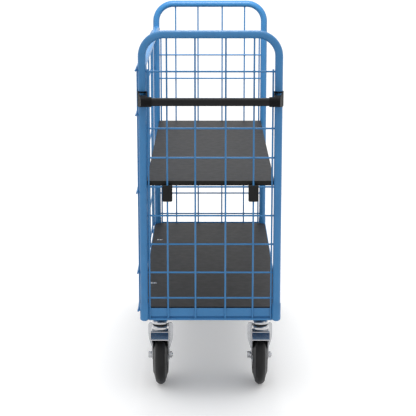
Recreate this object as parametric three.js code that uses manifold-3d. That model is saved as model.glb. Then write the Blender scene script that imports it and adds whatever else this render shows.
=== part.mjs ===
// Shelf trolley: a tube frame with wire mesh on both ends and one long side, a board deck,
// a lift-out board shelf, a push handle, two swivel castors and two fixed castors.
// Millimetres, Z up. X runs across the trolley, Y from the handle end to the far end.
// The open long side is at +X, and the floor is at Z = 0.

import * as THREE from "three";
import { mergeVertices } from "three/addons/utils/BufferGeometryUtils.js";
import Module from "manifold-3d";

const wasm = await Module();
wasm.setup();

// Facets
const TUBE_SIDES = 16;
const BORE_SIDES = 8;
const WIRE_SIDES = 6;
const BEND_STEPS = 5;
const CORNER_STEPS = 2;
const BOLT_SIDES = 8;
const HEX_SIDES = 6;
const WHEEL_SEGMENTS = 24;
const HEAD_SEGMENTS = 16;
const MERGE_TOLERANCE = 0.001;

// Gaps and overruns
const CONTACT_GAP = 0.3; // between pieces that touch
const OVERRUN = 4; // how far a cutter runs past the face it cuts

// Whole trolley. Rises are measured from the deck's top, which the castors set.
const FRAME_WIDTH = 450; // over the outsides of the posts
const HOOP_SPACING = 1200; // from one hoop's centre to the other's
const HOOP_RISE = 894.5; // to the top of the hoops
const HANDLE_RISE = 683; // to the middle of the push handle

// Hoops and the long side's top rail
const TUBE_DIAMETER = 25;
const TUBE_WALL = 1.5;
const HOOP_BEND_RADIUS = 68; // on the tube's centre line
const SIDE_RAIL_DROP = 111.5; // from the top of the hoops to the side rail's centre

// Wire mesh
const WIRE_DIAMETER = 5;
const WELD_SINK = 0.6; // how far crossing wires are pressed into each other
const MESH_PITCH = 93.5; // between level wires
const MESH_END_PITCH = 85; // first and last space of the level wires
const LOWEST_WIRE_RISE = 35.5;
const SHELF_WIRE_ROW = 4; // counted from the lowest level wire, which is row 0
const MIDDLE_WIRE_SETBACK = 177.2; // from a post's outside to the next middle upright wire
const HOOK_WIRE_SETBACK = 89; // from a post's outside to the upright wire that a hook grips
const EDGE_WIRE_SETBACK = 5.2; // from a post's inner face to the edge wire's centre
const WIRE_END = 8; // how far a wire runs past the last one it crosses
const WALL_FOOT_DROP = 5; // from the deck's top to the side wall's lowest long wire
const WALL_WIRE_SHARES = [0, 0.1625, 0.5, 0.82, 1]; // of the side wall's height
const WALL_UPRIGHT_SHARES = [0.12, 0.31, 0.5, 0.69, 0.88]; // of the hoop spacing
const WALL_EDGE_SETBACK = 19; // from a hoop's centre to the wall's edge wire

// Base frame
const RAIL_HEIGHT = 39.5;
const RAIL_PROUD = 1; // above the deck
const RAIL_WALL = 3;
const RAIL_LEDGE = 38; // inward reach of the ledge that carries the deck
const RAIL_FOOT = 20; // inward reach of the bottom flange
const RAIL_LIP_HEIGHT = 6;
const RAIL_LIP_DEPTH = 4;
const SOCKET_WALL = 1.2;
const SOCKET_HEIGHT = 57.5;
const SOCKET_FLOOR = 3;
const SOCKET_CHAMFER = 4;
const BEAM_WIDTH = 50;
const BEAM_HEIGHT = 55.4;
const BEAM_WALL = 3;
const BEAM_FLOOR = 4;

// Boards
const DECK_THICKNESS = 12;
const DECK_END_SETBACK = 22; // from a hoop's centre
const DECK_SIDE_CLEARANCE = 0.6;
const DECK_CORNER_RADIUS = 28;
const SHELF_THICKNESS = 15;
const SHELF_SIDE_SETBACK = 22.5; // from the outside of the posts
const SHELF_END_SETBACK = 10; // from a hoop's centre
const FIXING_SHARES = [0.25, 0.75]; // of the hoop spacing
const FIXING_INSET = 27; // from the deck's left edge to the plate's centre
const FIXING_WIDTH = 22;
const FIXING_LENGTH = 12;
const FIXING_THICKNESS = 2;
const FIXING_CORNER_RADIUS = 3;
const FIXING_POCKET_DEPTH = 5;
const FIXING_SCREW_SPACING = 11;
const FIXING_SCREW_RADIUS = 3.6;
const FIXING_SCREW_HEIGHT = 2.2;

// Shelf hooks
const HOOK_WIDTH = 32;
const HOOK_THICKNESS = 2.5;
const HOOK_REACH = 62; // under the board, from the hoop's centre
const HOOK_DROP = 52;
const HOOK_SLOT_WIDTH = 9;
const HOOK_CLEARANCE = 0.8; // from the upright wire to the drop plate

// Push handle
const HANDLE_REACH = 75; // from the hoop's centre to the bar's centre
const HANDLE_BAR_SETBACK = 15; // of the bar's end from the outside of the posts
const BRACKET_HEIGHT = 48;
const BRACKET_WALL = 2.4;
const BRACKET_NOSE_RADIUS = 15.5;
const BRACKET_SLEEVE = 30; // length of the sleeve on the bar
const BRACKET_FLOOR = 4;
const BRACKET_WEB = 4;
const BRACKET_CLEARANCE = 1.5; // round the wires beside the post
const HANDLE_BOLT_RADIUS = 3;
const HANDLE_BOLT_HEAD_RADIUS = 5.5;
const HANDLE_BOLT_HEAD_HEIGHT = 4;
const HANDLE_NUT_HEIGHT = 5;

// Wheels
const WHEEL_RADIUS = 100;
const TYRE_WIDTH = 50;
const TYRE_DEPTH = 44; // from the tread to the rim
const TYRE_SEAT_WIDTH = 44;
const TYRE_BEAD = 3; // height of the bead's slope beside the rim
const SHOULDER_DROP = 11; // from the tread inwards to the shoulders
const SHOULDER_SHARE = 0.61; // of the tyre's width, between its shoulders
const TREAD_SHARE = 0.32; // of the tyre's width, flat in the middle
const RIM_WALL = 4;
const WEB_THICKNESS = 6;
const HUB_RADIUS = 24;
const HUB_WIDTH = 50;
const BUSH_RADIUS = 15;
const AXLE_RADIUS = 6;

// Castors
const CASTOR_SIDE_INSET = 58; // from the outside of the posts to a castor's upright axis
const CASTOR_END_INSET = 130; // from a hoop's centre to the same axis
const CASTOR_TRAIL = 50;
const FORK_WIDTH = 58;
const FORK_SHEET = 3.4;
const CROWN_CLEARANCE = 10.6; // from the wheel's top to the crown
const FORK_CROWN_FRONT = 46; // ahead of the upright axis
const FORK_CROWN_REAR = 50;
const APRON_HEIGHT = 30;
const APRON_FLARE = 13; // how far the apron's lower edge stands ahead of the crown
const APRON_EDGE = 4; // the sloping sheet, measured level
const PRESS_RADIUS = 9; // outside radius of the fork's pressed corners
const FORK_EAR_RADIUS = 17;
const FORK_FLANGE = 11;
const AXLE_BOSS_RADIUS = 15;
const AXLE_BOSS_HEIGHT = 1;
const RACE_RADIUS = 27.5;
const RACE_HEIGHT = 16.7;
const RACE_GAP = 1.5;
const RACE_NECK_RADIUS = 21;
const CUP_HEIGHT = 13.5;
const CUP_RADIUS = 25;
const PIN_RADIUS = 6;
const PIN_HEAD_RADIUS = 11;
const PIN_HEAD_HEIGHT = 7;
const PIN_NUT_HEIGHT = 10;
const AXLE_HEAD_HEIGHT = 8;
const AXLE_HEX_RADIUS = 11;
const AXLE_WASHER_RADIUS = 12;
const AXLE_WASHER_THICKNESS = 2.5;
const AXLE_NUT_HEIGHT = 7.5;
const AXLE_TAIL = 2;
const FIXED_CROWN_LENGTH = 92;
const FIXED_CROWN_HEIGHT = 42; // from the crown down to the legs' slope

// Sizes that follow from these
const tubeRadius = TUBE_DIAMETER / 2;
const wireRadius = WIRE_DIAMETER / 2; // from its centre to a flat
const wireCorner = wireRadius / Math.cos(Math.PI / WIRE_SIDES);
const postX = FRAME_WIDTH / 2 - tubeRadius;
const socketRadius = tubeRadius + CONTACT_GAP + SOCKET_WALL;
const crossingDepth = WIRE_DIAMETER - WELD_SINK; // between the two layers of a mesh
const railFaceY = wireRadius + CONTACT_GAP;
const tyreBore = WHEEL_RADIUS - TYRE_DEPTH;
const middleWireX = FRAME_WIDTH / 2 - MIDDLE_WIRE_SETBACK;
const hookX = FRAME_WIDTH / 2 - HOOK_WIRE_SETBACK;
const castorX = FRAME_WIDTH / 2 - CASTOR_SIDE_INSET;
const handleEndX = FRAME_WIDTH / 2 - HANDLE_BAR_SETBACK;
const bossFace = FORK_WIDTH / 2 + AXLE_BOSS_HEIGHT;
const fixingX = -(FRAME_WIDTH / 2 - RAIL_WALL - FIXING_INSET);

// Heights, from the floor up
const crownTop = 2 * WHEEL_RADIUS + CROWN_CLEARANCE + FORK_SHEET;
const apronBottom = crownTop - APRON_HEIGHT;
const cupTop = crownTop + CUP_HEIGHT;
const raceBottom = cupTop + RACE_GAP;
const castorTop = raceBottom + RACE_HEIGHT;
const beamBottom = castorTop + CONTACT_GAP;
const beamTop = beamBottom + BEAM_HEIGHT;
const ledgeTop = beamTop + CONTACT_GAP + RAIL_WALL;
const deckBottom = ledgeTop + CONTACT_GAP;
const deckTop = deckBottom + DECK_THICKNESS;
const railTop = deckTop + RAIL_PROUD;
const railBottom = railTop - RAIL_HEIGHT;
const socketTop = railBottom + SOCKET_HEIGHT;
const hoopTopZ = deckTop + HOOP_RISE - tubeRadius;
const sideRailZ = deckTop + HOOP_RISE - SIDE_RAIL_DROP;
const handleZ = deckTop + HANDLE_RISE;
const levelWires = levelWireHeights();
const shelfBottom = levelWires[SHELF_WIRE_ROW] + wireCorner + CONTACT_GAP;

// Materials
const blueCoat = new THREE.MeshStandardMaterial({ color: 0x3f7fbf, roughness: 0.45, metalness: 0.1 });
const darkBoard = new THREE.MeshStandardMaterial({ color: 0x47484a, roughness: 0.7, metalness: 0 });
const blackPlastic = new THREE.MeshStandardMaterial({ color: 0x232325, roughness: 0.55, metalness: 0 });
const blackSteel = new THREE.MeshStandardMaterial({ color: 0x2a2a2c, roughness: 0.4, metalness: 0.3 });
const rubber = new THREE.MeshStandardMaterial({ color: 0x1c1c1d, roughness: 0.8, metalness: 0 });
const zinc = new THREE.MeshStandardMaterial({ color: 0xb9bcc0, roughness: 0.3, metalness: 0.9 });

// Geometry helpers

function toSolid(geometry) {
  geometry.deleteAttribute("normal");
  geometry.deleteAttribute("uv");
  const merged = mergeVertices(geometry, MERGE_TOLERANCE);
  const mesh = new wasm.Mesh({
    numProp: 3,
    vertProperties: merged.attributes.position.array,
    triVerts: new Uint32Array(merged.index.array),
  });
  return new wasm.Manifold(mesh);
}

function toGeometry(solid) {
  const mesh = solid.getMesh();
  const corners = new Float32Array(mesh.vertProperties);
  const geometry = new THREE.BufferGeometry();
  geometry.setAttribute("position", new THREE.BufferAttribute(corners, 3));
  geometry.setIndex(new THREE.BufferAttribute(new Uint32Array(mesh.triVerts), 1));
  geometry.computeVertexNormals();
  return geometry;
}

const asSolid = (shape) => (shape.isBufferGeometry ? toSolid(shape) : shape);
const join = (...shapes) => shapes.map(asSolid).reduce((all, next) => all.add(next));
const cut = (body, ...tools) => tools.reduce((rest, tool) => rest.subtract(asSolid(tool)), asSolid(body));
const common = (one, other) => asSolid(one).intersect(asSolid(other));

function named(name, shape, material) {
  const geometry = shape.isBufferGeometry ? shape : toGeometry(shape);
  const mesh = new THREE.Mesh(geometry, material);
  mesh.name = name;
  return mesh;
}

function block(sizeX, sizeY, sizeZ) {
  return new THREE.BoxGeometry(sizeX, sizeY, sizeZ);
}

// A box between two corners.
function span(low, high) {
  const box = block(high[0] - low[0], high[1] - low[1], high[2] - low[2]);
  return box.translate((low[0] + high[0]) / 2, (low[1] + high[1]) / 2, (low[2] + high[2]) / 2);
}

// A round or many-sided bar centred on the origin, along x, y or z.
function rod(radius, length, sides, along, turn = 0) {
  const geometry = new THREE.CylinderGeometry(radius, radius, length, sides, 1, false, turn);
  if (along === "x") geometry.rotateZ(Math.PI / 2);
  if (along === "z") geometry.rotateX(Math.PI / 2);
  return geometry;
}

// The radius of a faceted hole whose flats clear a round pin that turns in it.
function clearOf(radius, sides) {
  return (radius + CONTACT_GAP) / Math.cos(Math.PI / sides);
}

// A rod along z between two heights.
function upright(radius, bottom, top, sides, turn = 0) {
  return rod(radius, top - bottom, sides, "z", turn).translate(0, 0, (bottom + top) / 2);
}

const acrossX = new THREE.Matrix4().makeBasis(
  new THREE.Vector3(0, 1, 0),
  new THREE.Vector3(0, 0, 1),
  new THREE.Vector3(1, 0, 0),
);
const acrossY = new THREE.Matrix4().makeBasis(
  new THREE.Vector3(1, 0, 0),
  new THREE.Vector3(0, 0, 1),
  new THREE.Vector3(0, -1, 0),
);

// A prism of an outline. Along x the outline is (y, z), along y it is (x, z), along z it is (x, y).
function prism(outline, length, along) {
  const isList = Array.isArray(outline);
  const shape = isList ? new THREE.Shape(outline.map(([u, v]) => new THREE.Vector2(u, v))) : outline;
  const settings = { depth: length, bevelEnabled: false, curveSegments: CORNER_STEPS };
  const geometry = new THREE.ExtrudeGeometry(shape, settings).translate(0, 0, -length / 2);
  if (along === "x") geometry.applyMatrix4(acrossX);
  if (along === "y") geometry.applyMatrix4(acrossY);
  return geometry;
}

// A turned piece. The profile is (radius, place along the axis), counterclockwise.
function turned(profile, segments, along, turn = 0) {
  const points = profile.map(([radius, place]) => new THREE.Vector2(radius, place));
  const geometry = new THREE.LatheGeometry(points, segments, turn);
  if (along === "x") geometry.rotateZ(-Math.PI / 2);
  if (along === "z") geometry.rotateX(Math.PI / 2);
  return geometry;
}

// A path of straight runs and round bends that an outline can follow.
class BentPath extends THREE.Curve {
  constructor(corners, bendRadius) {
    super();
    const heading = (from, to) => to.clone().sub(from).normalize();
    const last = corners.length - 1;
    this.stations = [{ point: corners[0], tangent: heading(corners[0], corners[1]) }];
    for (let i = 1; i < last; i++) {
      const before = heading(corners[i - 1], corners[i]);
      const after = heading(corners[i], corners[i + 1]);
      this.addBend(corners[i], before, after, bendRadius);
    }
    this.stations.push({ point: corners[last], tangent: heading(corners[last - 1], corners[last]) });
  }

  addBend(corner, before, after, radius) {
    const angle = before.angleTo(after);
    const inward = after.clone().addScaledVector(before, -before.dot(after)).normalize();
    const start = corner.clone().addScaledVector(before, -radius * Math.tan(angle / 2));
    for (let step = 0; step <= BEND_STEPS; step++) {
      const turn = (angle * step) / BEND_STEPS;
      const point = start.clone();
      point.addScaledVector(before, radius * Math.sin(turn));
      point.addScaledVector(inward, radius * (1 - Math.cos(turn)));
      const tangent = before.clone().multiplyScalar(Math.cos(turn));
      tangent.addScaledVector(inward, Math.sin(turn));
      this.stations.push({ point, tangent });
    }
  }

  stationAt(share) {
    return this.stations[Math.round(share * (this.stations.length - 1))];
  }

  getPointAt(share) {
    return this.stationAt(share).point.clone();
  }

  getTangentAt(share) {
    return this.stationAt(share).tangent.clone();
  }
}

function roundBarAlong(corners, bendRadius, radius, sides) {
  const path = new BentPath(corners, bendRadius);
  const section = new THREE.Shape();
  for (let side = 0; side < sides; side++) {
    const angle = (2 * Math.PI * (side + 1 / 2)) / sides;
    const place = [radius * Math.cos(angle), radius * Math.sin(angle)];
    if (side === 0) section.moveTo(...place);
    else section.lineTo(...place);
  }
  return new THREE.ExtrudeGeometry(section, {
    steps: path.stations.length - 1,
    extrudePath: path,
    bevelEnabled: false,
  });
}

// A tube, open at both ends, along corners given in order.
function tubeAlong(corners, bendRadius) {
  const runOut = corners.map((corner) => corner.clone());
  const last = corners.length - 1;
  runOut[0].addScaledVector(corners[1].clone().sub(corners[0]).normalize(), -OVERRUN);
  runOut[last].addScaledVector(corners[last - 1].clone().sub(corners[last]).normalize(), -OVERRUN);
  const outer = roundBarAlong(corners, bendRadius, tubeRadius, TUBE_SIDES);
  const bore = roundBarAlong(runOut, bendRadius, tubeRadius - TUBE_WALL, BORE_SIDES);
  return cut(outer, bore);
}

// Hoops

function hoop(drilled) {
  const foot = railBottom + SOCKET_FLOOR + CONTACT_GAP;
  const corners = [
    new THREE.Vector3(-postX, 0, foot),
    new THREE.Vector3(-postX, 0, hoopTopZ),
    new THREE.Vector3(postX, 0, hoopTopZ),
    new THREE.Vector3(postX, 0, foot),
  ];
  const tube = tubeAlong(corners, HOOP_BEND_RADIUS);
  if (!drilled) return tube;
  const drill = () => rod(HANDLE_BOLT_RADIUS + CONTACT_GAP, TUBE_DIAMETER + 2 * OVERRUN, BOLT_SIDES, "y");
  return cut(
    tube,
    drill().translate(-postX, 0, handleZ),
    drill().translate(postX, 0, handleZ),
  );
}

// The side rail's ends are coped to fit against the posts.
function sideTopRail() {
  const rail = tubeAlong(
    [new THREE.Vector3(-postX, 0, sideRailZ), new THREE.Vector3(-postX, HOOP_SPACING, sideRailZ)],
    0,
  );
  const cope = () => {
    const radius = tubeRadius + CONTACT_GAP;
    const post = rod(radius, 2 * TUBE_DIAMETER, TUBE_SIDES, "z", Math.PI / TUBE_SIDES);
    return post.translate(-postX, 0, sideRailZ);
  };
  return cut(rail, cope(), cope().translate(0, HOOP_SPACING, 0));
}

// Wire mesh

// A wire with one of its flats towards the given axis, so that crossing wires meet flat to flat.
function wire(length, along, flatTowards) {
  const flatAngle = along === "z" && flatTowards === "y" ? 0 : Math.PI / 2;
  return rod(wireCorner, length, WIRE_SIDES, along, flatAngle + Math.PI / WIRE_SIDES);
}

function uprightWire(bottom, top, flatTowards) {
  return wire(top - bottom, "z", flatTowards).translate(0, 0, (bottom + top) / 2);
}

// The even pitches fill the posts' straight length, with a shorter space at the foot and the top.
function levelWireHeights() {
  const lowest = deckTop + LOWEST_WIRE_RISE;
  const room = hoopTopZ - HOOP_BEND_RADIUS - lowest - 2 * MESH_END_PITCH;
  const heights = [lowest];
  for (let pitch = 0; pitch <= Math.floor(room / MESH_PITCH); pitch++) {
    heights.push(lowest + MESH_END_PITCH + pitch * MESH_PITCH);
  }
  heights.push(heights[heights.length - 1] + MESH_END_PITCH);
  return heights;
}

// The end mesh stands in the hoop: upright wires outside, level wires inside.
function endMesh() {
  const wireFoot = railBottom + RAIL_LIP_HEIGHT + CONTACT_GAP;
  const nearTube = crossingDepth - wireRadius;
  const levelReach = postX - Math.sqrt(tubeRadius ** 2 - nearTube ** 2) - CONTACT_GAP;
  const edgeX = postX - tubeRadius - EDGE_WIRE_SETBACK;
  const pieces = levelWires.map((height) =>
    wire(2 * levelReach, "x", "y").translate(0, crossingDepth, height),
  );
  for (const side of [-1, 1]) {
    for (const place of [middleWireX, hookX]) {
      const tall = uprightWire(wireFoot, hoopTopZ - tubeRadius - CONTACT_GAP, "y");
      pieces.push(tall.translate(side * place, 0, 0));
    }
    const edge = uprightWire(wireFoot, levelWires[levelWires.length - 1] + WIRE_END, "y");
    pieces.push(edge.translate(side * edgeX, 0, 0));
  }
  return join(...pieces);
}

// The side wall lies on the outside of the left posts: upright wires inside, long wires outside.
function sideMesh() {
  const uprightX = -(FRAME_WIDTH / 2 + CONTACT_GAP + wireRadius);
  const lowest = deckTop - WALL_FOOT_DROP;
  const highest = sideRailZ - tubeRadius;
  const foot = lowest - WIRE_END;
  const top = sideRailZ - wireRadius;
  const length = HOOP_SPACING + 2 * WIRE_END;
  const pieces = WALL_WIRE_SHARES.map((share) => {
    const height = lowest + share * (highest - lowest);
    return wire(length, "y", "x").translate(uprightX - crossingDepth, HOOP_SPACING / 2, height);
  });
  for (const share of WALL_UPRIGHT_SHARES) {
    pieces.push(uprightWire(foot, top, "x").translate(uprightX, share * HOOP_SPACING, 0));
  }
  for (const place of [WALL_EDGE_SETBACK, HOOP_SPACING - WALL_EDGE_SETBACK]) {
    pieces.push(uprightWire(foot, top, "x").translate(uprightX, place, 0));
  }
  return join(...pieces);
}

// Base frame

// The end rail lies just inside its mesh: a web, a ledge for the deck, a foot and an outer lip.
function endRail() {
  const face = railFaceY;
  const inner = face + RAIL_WALL;
  const lip = face - RAIL_LIP_DEPTH;
  const outline = [
    [lip, railBottom],
    [inner + RAIL_FOOT, railBottom],
    [inner + RAIL_FOOT, railBottom + RAIL_WALL],
    [inner, railBottom + RAIL_WALL],
    [inner, ledgeTop - RAIL_WALL],
    [inner + RAIL_LEDGE, ledgeTop - RAIL_WALL],
    [inner + RAIL_LEDGE, ledgeTop],
    [inner, ledgeTop],
    [inner, railTop],
    [face, railTop],
    [face, railBottom + RAIL_LIP_HEIGHT],
    [lip, railBottom + RAIL_LIP_HEIGHT],
  ];
  return prism(outline, 2 * (postX - socketRadius - CONTACT_GAP), "x");
}

// The side rail, for the +X side: a web between the sockets and a ledge coped clear of the end rails.
function sideRail() {
  const outer = FRAME_WIDTH / 2;
  const webStart = socketRadius + CONTACT_GAP;
  const ledgeStart = railFaceY + RAIL_WALL + RAIL_LEDGE + CONTACT_GAP;
  const web = span(
    [outer - RAIL_WALL, webStart, railBottom],
    [outer, HOOP_SPACING - webStart, railTop],
  );
  const ledge = span(
    [outer - RAIL_WALL - RAIL_LEDGE, ledgeStart, ledgeTop - RAIL_WALL],
    [outer - RAIL_WALL / 2, HOOP_SPACING - ledgeStart, ledgeTop],
  );
  return join(web, ledge);
}

// The cross beam is a channel, open upwards, that carries two castors.
function castorBeam() {
  const half = BEAM_WIDTH / 2;
  const outline = [
    [-half, beamBottom],
    [half, beamBottom],
    [half, beamTop],
    [half - BEAM_WALL, beamTop],
    [half - BEAM_WALL, beamBottom + BEAM_FLOOR],
    [BEAM_WALL - half, beamBottom + BEAM_FLOOR],
    [BEAM_WALL - half, beamTop],
    [-half, beamTop],
  ];
  const channel = prism(outline, FRAME_WIDTH - 2 * (RAIL_WALL + CONTACT_GAP), "x");
  const holeRadius = clearOf(PIN_RADIUS, BOLT_SIDES);
  const holeTop = beamBottom + BEAM_FLOOR + OVERRUN;
  const hole = () => upright(holeRadius, beamBottom - OVERRUN, holeTop, BOLT_SIDES);
  return cut(
    channel,
    hole().translate(-castorX, 0, 0),
    hole().translate(castorX, 0, 0),
  );
}

// The cup at a corner of the base frame that a post stands in.
function cornerSocket() {
  const bore = tubeRadius + CONTACT_GAP;
  const profile = [
    [0, railBottom],
    [socketRadius - SOCKET_CHAMFER, railBottom],
    [socketRadius, railBottom + SOCKET_CHAMFER],
    [socketRadius, socketTop],
    [bore, socketTop],
    [bore, railBottom + SOCKET_FLOOR],
    [0, railBottom + SOCKET_FLOOR],
  ];
  return turned(profile, TUBE_SIDES, "z");
}

// Boards

function roundedRectangle(width, length, radius) {
  const x = width / 2;
  const y = length / 2;
  const shape = new THREE.Shape();
  shape.moveTo(-x + radius, -y);
  shape.absarc(x - radius, -y + radius, radius, -Math.PI / 2, 0, false);
  shape.absarc(x - radius, y - radius, radius, 0, Math.PI / 2, false);
  shape.absarc(-x + radius, y - radius, radius, Math.PI / 2, Math.PI, false);
  shape.absarc(-x + radius, -y + radius, radius, Math.PI, (3 * Math.PI) / 2, false);
  return shape;
}

// The deck has a pocket for each fixing, so that loads slide over the screw heads.
function bottomDeck() {
  const width = FRAME_WIDTH - 2 * (RAIL_WALL + DECK_SIDE_CLEARANCE);
  const length = HOOP_SPACING - 2 * DECK_END_SETBACK;
  const board = prism(roundedRectangle(width, length, DECK_CORNER_RADIUS), DECK_THICKNESS, "z");
  const pockets = FIXING_SHARES.map((share) => {
    const pocket = block(
      FIXING_WIDTH + 2 * CONTACT_GAP,
      FIXING_LENGTH + 2 * CONTACT_GAP,
      FIXING_POCKET_DEPTH + OVERRUN,
    );
    const z = deckTop + (OVERRUN - FIXING_POCKET_DEPTH) / 2;
    return pocket.translate(fixingX, share * HOOP_SPACING, z);
  });
  return cut(board.translate(0, HOOP_SPACING / 2, deckTop - DECK_THICKNESS / 2), ...pockets);
}

// A small plate with two domed screws that holds the deck down beside the side wall.
function deckFixing() {
  const bottom = deckTop - FIXING_POCKET_DEPTH + CONTACT_GAP;
  const top = bottom + FIXING_THICKNESS;
  const outline = roundedRectangle(FIXING_WIDTH, FIXING_LENGTH, FIXING_CORNER_RADIUS);
  const plate = prism(outline, FIXING_THICKNESS, "z");
  const dome = () =>
    turned(
      [
        [0, top - FIXING_THICKNESS / 2],
        [FIXING_SCREW_RADIUS, top - FIXING_THICKNESS / 2],
        [FIXING_SCREW_RADIUS, top],
        [FIXING_SCREW_RADIUS / 2, top + FIXING_SCREW_HEIGHT],
        [0, top + FIXING_SCREW_HEIGHT],
      ],
      BOLT_SIDES,
      "z",
    );
  return join(
    plate.translate(0, 0, bottom + FIXING_THICKNESS / 2),
    dome().translate(-FIXING_SCREW_SPACING / 2, 0, 0),
    dome().translate(FIXING_SCREW_SPACING / 2, 0, 0),
  );
}

// The shelf board, with a pocket milled under each hook's plate.
function shelfBoard() {
  const length = HOOP_SPACING - 2 * SHELF_END_SETBACK;
  const board = block(FRAME_WIDTH - 2 * SHELF_SIDE_SETBACK, length, SHELF_THICKNESS);
  board.translate(0, HOOP_SPACING / 2, shelfBottom + SHELF_THICKNESS / 2);
  const half = HOOK_WIDTH / 2 + CONTACT_GAP;
  const top = shelfBottom + HOOK_THICKNESS + CONTACT_GAP;
  const pockets = [];
  for (const x of [-hookX, hookX]) {
    for (const end of [0, HOOP_SPACING]) {
      const inward = end === 0 ? 1 : -1;
      const far = end + inward * (HOOK_REACH + CONTACT_GAP);
      const near = end + inward * (SHELF_END_SETBACK - OVERRUN);
      pockets.push(
        span(
          [x - half, Math.min(near, far), shelfBottom - OVERRUN],
          [x + half, Math.max(near, far), top],
        ),
      );
    }
  }
  return cut(board, ...pockets);
}

// A hook bent from plate: it lies in the board's pocket, runs over the level wire on both sides of
// an upright wire, and drops outside the mesh.
function shelfHook() {
  const plateBottom = shelfBottom;
  const plateTop = plateBottom + HOOK_THICKNESS;
  const dropInner = -(wireRadius + HOOK_CLEARANCE);
  const dropOuter = dropInner - HOOK_THICKNESS;
  const outline = [
    [dropOuter, plateTop - HOOK_DROP],
    [dropInner, plateTop - HOOK_DROP],
    [dropInner, plateBottom],
    [HOOK_REACH, plateBottom],
    [HOOK_REACH, plateTop],
    [dropOuter + HOOK_THICKNESS / 2, plateTop],
    [dropOuter, plateTop - HOOK_THICKNESS / 2],
  ];
  const slot = span(
    [-HOOK_SLOT_WIDTH / 2, dropInner, plateBottom - OVERRUN],
    [HOOK_SLOT_WIDTH / 2, wireRadius + HOOK_CLEARANCE + crossingDepth, plateTop + OVERRUN],
  );
  return cut(prism(outline, HOOK_WIDTH, "x"), slot);
}

// Push handle

function handleBar() {
  return tubeAlong(
    [
      new THREE.Vector3(-handleEndX, -HANDLE_REACH, handleZ),
      new THREE.Vector3(handleEndX, -HANDLE_REACH, handleZ),
    ],
    0,
  );
}

// The bracket for the +X post: a collar on the post, an open-topped arm and a sleeve on the bar.
function handleBracket() {
  const collarRadius = tubeRadius + CONTACT_GAP + BRACKET_WALL;
  const half = BRACKET_HEIGHT / 2;
  const barEnd = handleEndX;
  const sleeveStart = barEnd - BRACKET_SLEEVE;
  const nose = HANDLE_REACH + BRACKET_NOSE_RADIUS;
  const side = new THREE.Shape();
  side.moveTo(0, handleZ - half);
  side.lineTo(0, handleZ + half);
  side.lineTo(-collarRadius, handleZ + half);
  side.lineTo(-HANDLE_REACH, handleZ + BRACKET_NOSE_RADIUS);
  side.absarc(-HANDLE_REACH, handleZ, BRACKET_NOSE_RADIUS, Math.PI / 2, (3 * Math.PI) / 2, false);
  side.lineTo(-collarRadius, handleZ - half);
  const plan = [
    [postX - collarRadius, 0],
    [barEnd - BRACKET_SLEEVE / 2, -nose],
    [barEnd + BRACKET_WALL, -nose],
    [postX + collarRadius, 0],
  ];
  const arm = common(
    prism(side, FRAME_WIDTH, "x").translate(postX, 0, 0),
    prism(plan, BRACKET_HEIGHT + 2 * OVERRUN, "z").translate(0, 0, handleZ),
  );
  const collar = upright(collarRadius, handleZ - half, handleZ + half, TUBE_SIDES, Math.PI / TUBE_SIDES);
  const sleeve = rod(BRACKET_NOSE_RADIUS, BRACKET_SLEEVE, TUBE_SIDES, "x");
  const pocketRear = collarRadius + BRACKET_WEB;
  const pocketFront = HANDLE_REACH - BRACKET_NOSE_RADIUS - BRACKET_WEB;
  const innerAt = (reach) => THREE.MathUtils.lerp(plan[0][0], plan[1][0], reach / nose) + BRACKET_WALL;
  const outerAt = (reach) => THREE.MathUtils.lerp(plan[3][0], plan[2][0], reach / nose) - BRACKET_WALL;
  const pocket = prism(
    [
      [innerAt(pocketRear), -pocketRear],
      [innerAt(pocketFront), -pocketFront],
      [outerAt(pocketFront), -pocketFront],
      [outerAt(pocketRear), -pocketRear],
    ],
    BRACKET_HEIGHT,
    "z",
  ).translate(0, 0, handleZ + BRACKET_FLOOR);
  const postBore = upright(
    tubeRadius + CONTACT_GAP,
    handleZ - half - OVERRUN,
    handleZ + half + OVERRUN,
    TUBE_SIDES,
    Math.PI / TUBE_SIDES,
  );
  const notchEnd = postX - HANDLE_BOLT_HEAD_RADIUS - BRACKET_CLEARANCE;
  const wireNotch = span(
    [0, -(wireRadius + BRACKET_CLEARANCE), handleZ - half - OVERRUN],
    [notchEnd, collarRadius + OVERRUN, handleZ + half + OVERRUN],
  );
  const barBore = rod(tubeRadius + CONTACT_GAP, BRACKET_SLEEVE + OVERRUN + CONTACT_GAP, TUBE_SIDES, "x");
  const barBoreX = (sleeveStart - OVERRUN + barEnd + CONTACT_GAP) / 2;
  const drill = rod(HANDLE_BOLT_RADIUS + CONTACT_GAP, 2 * pocketRear + OVERRUN, BOLT_SIDES, "y");
  return cut(
    join(
      arm,
      collar.translate(postX, 0, 0),
      sleeve.translate(barEnd - BRACKET_SLEEVE / 2, -HANDLE_REACH, handleZ),
    ),
    postBore.translate(postX, 0, 0),
    barBore.translate(barBoreX, -HANDLE_REACH, handleZ),
    pocket,
    wireNotch,
    drill.translate(postX, 0, handleZ),
  );
}

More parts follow.
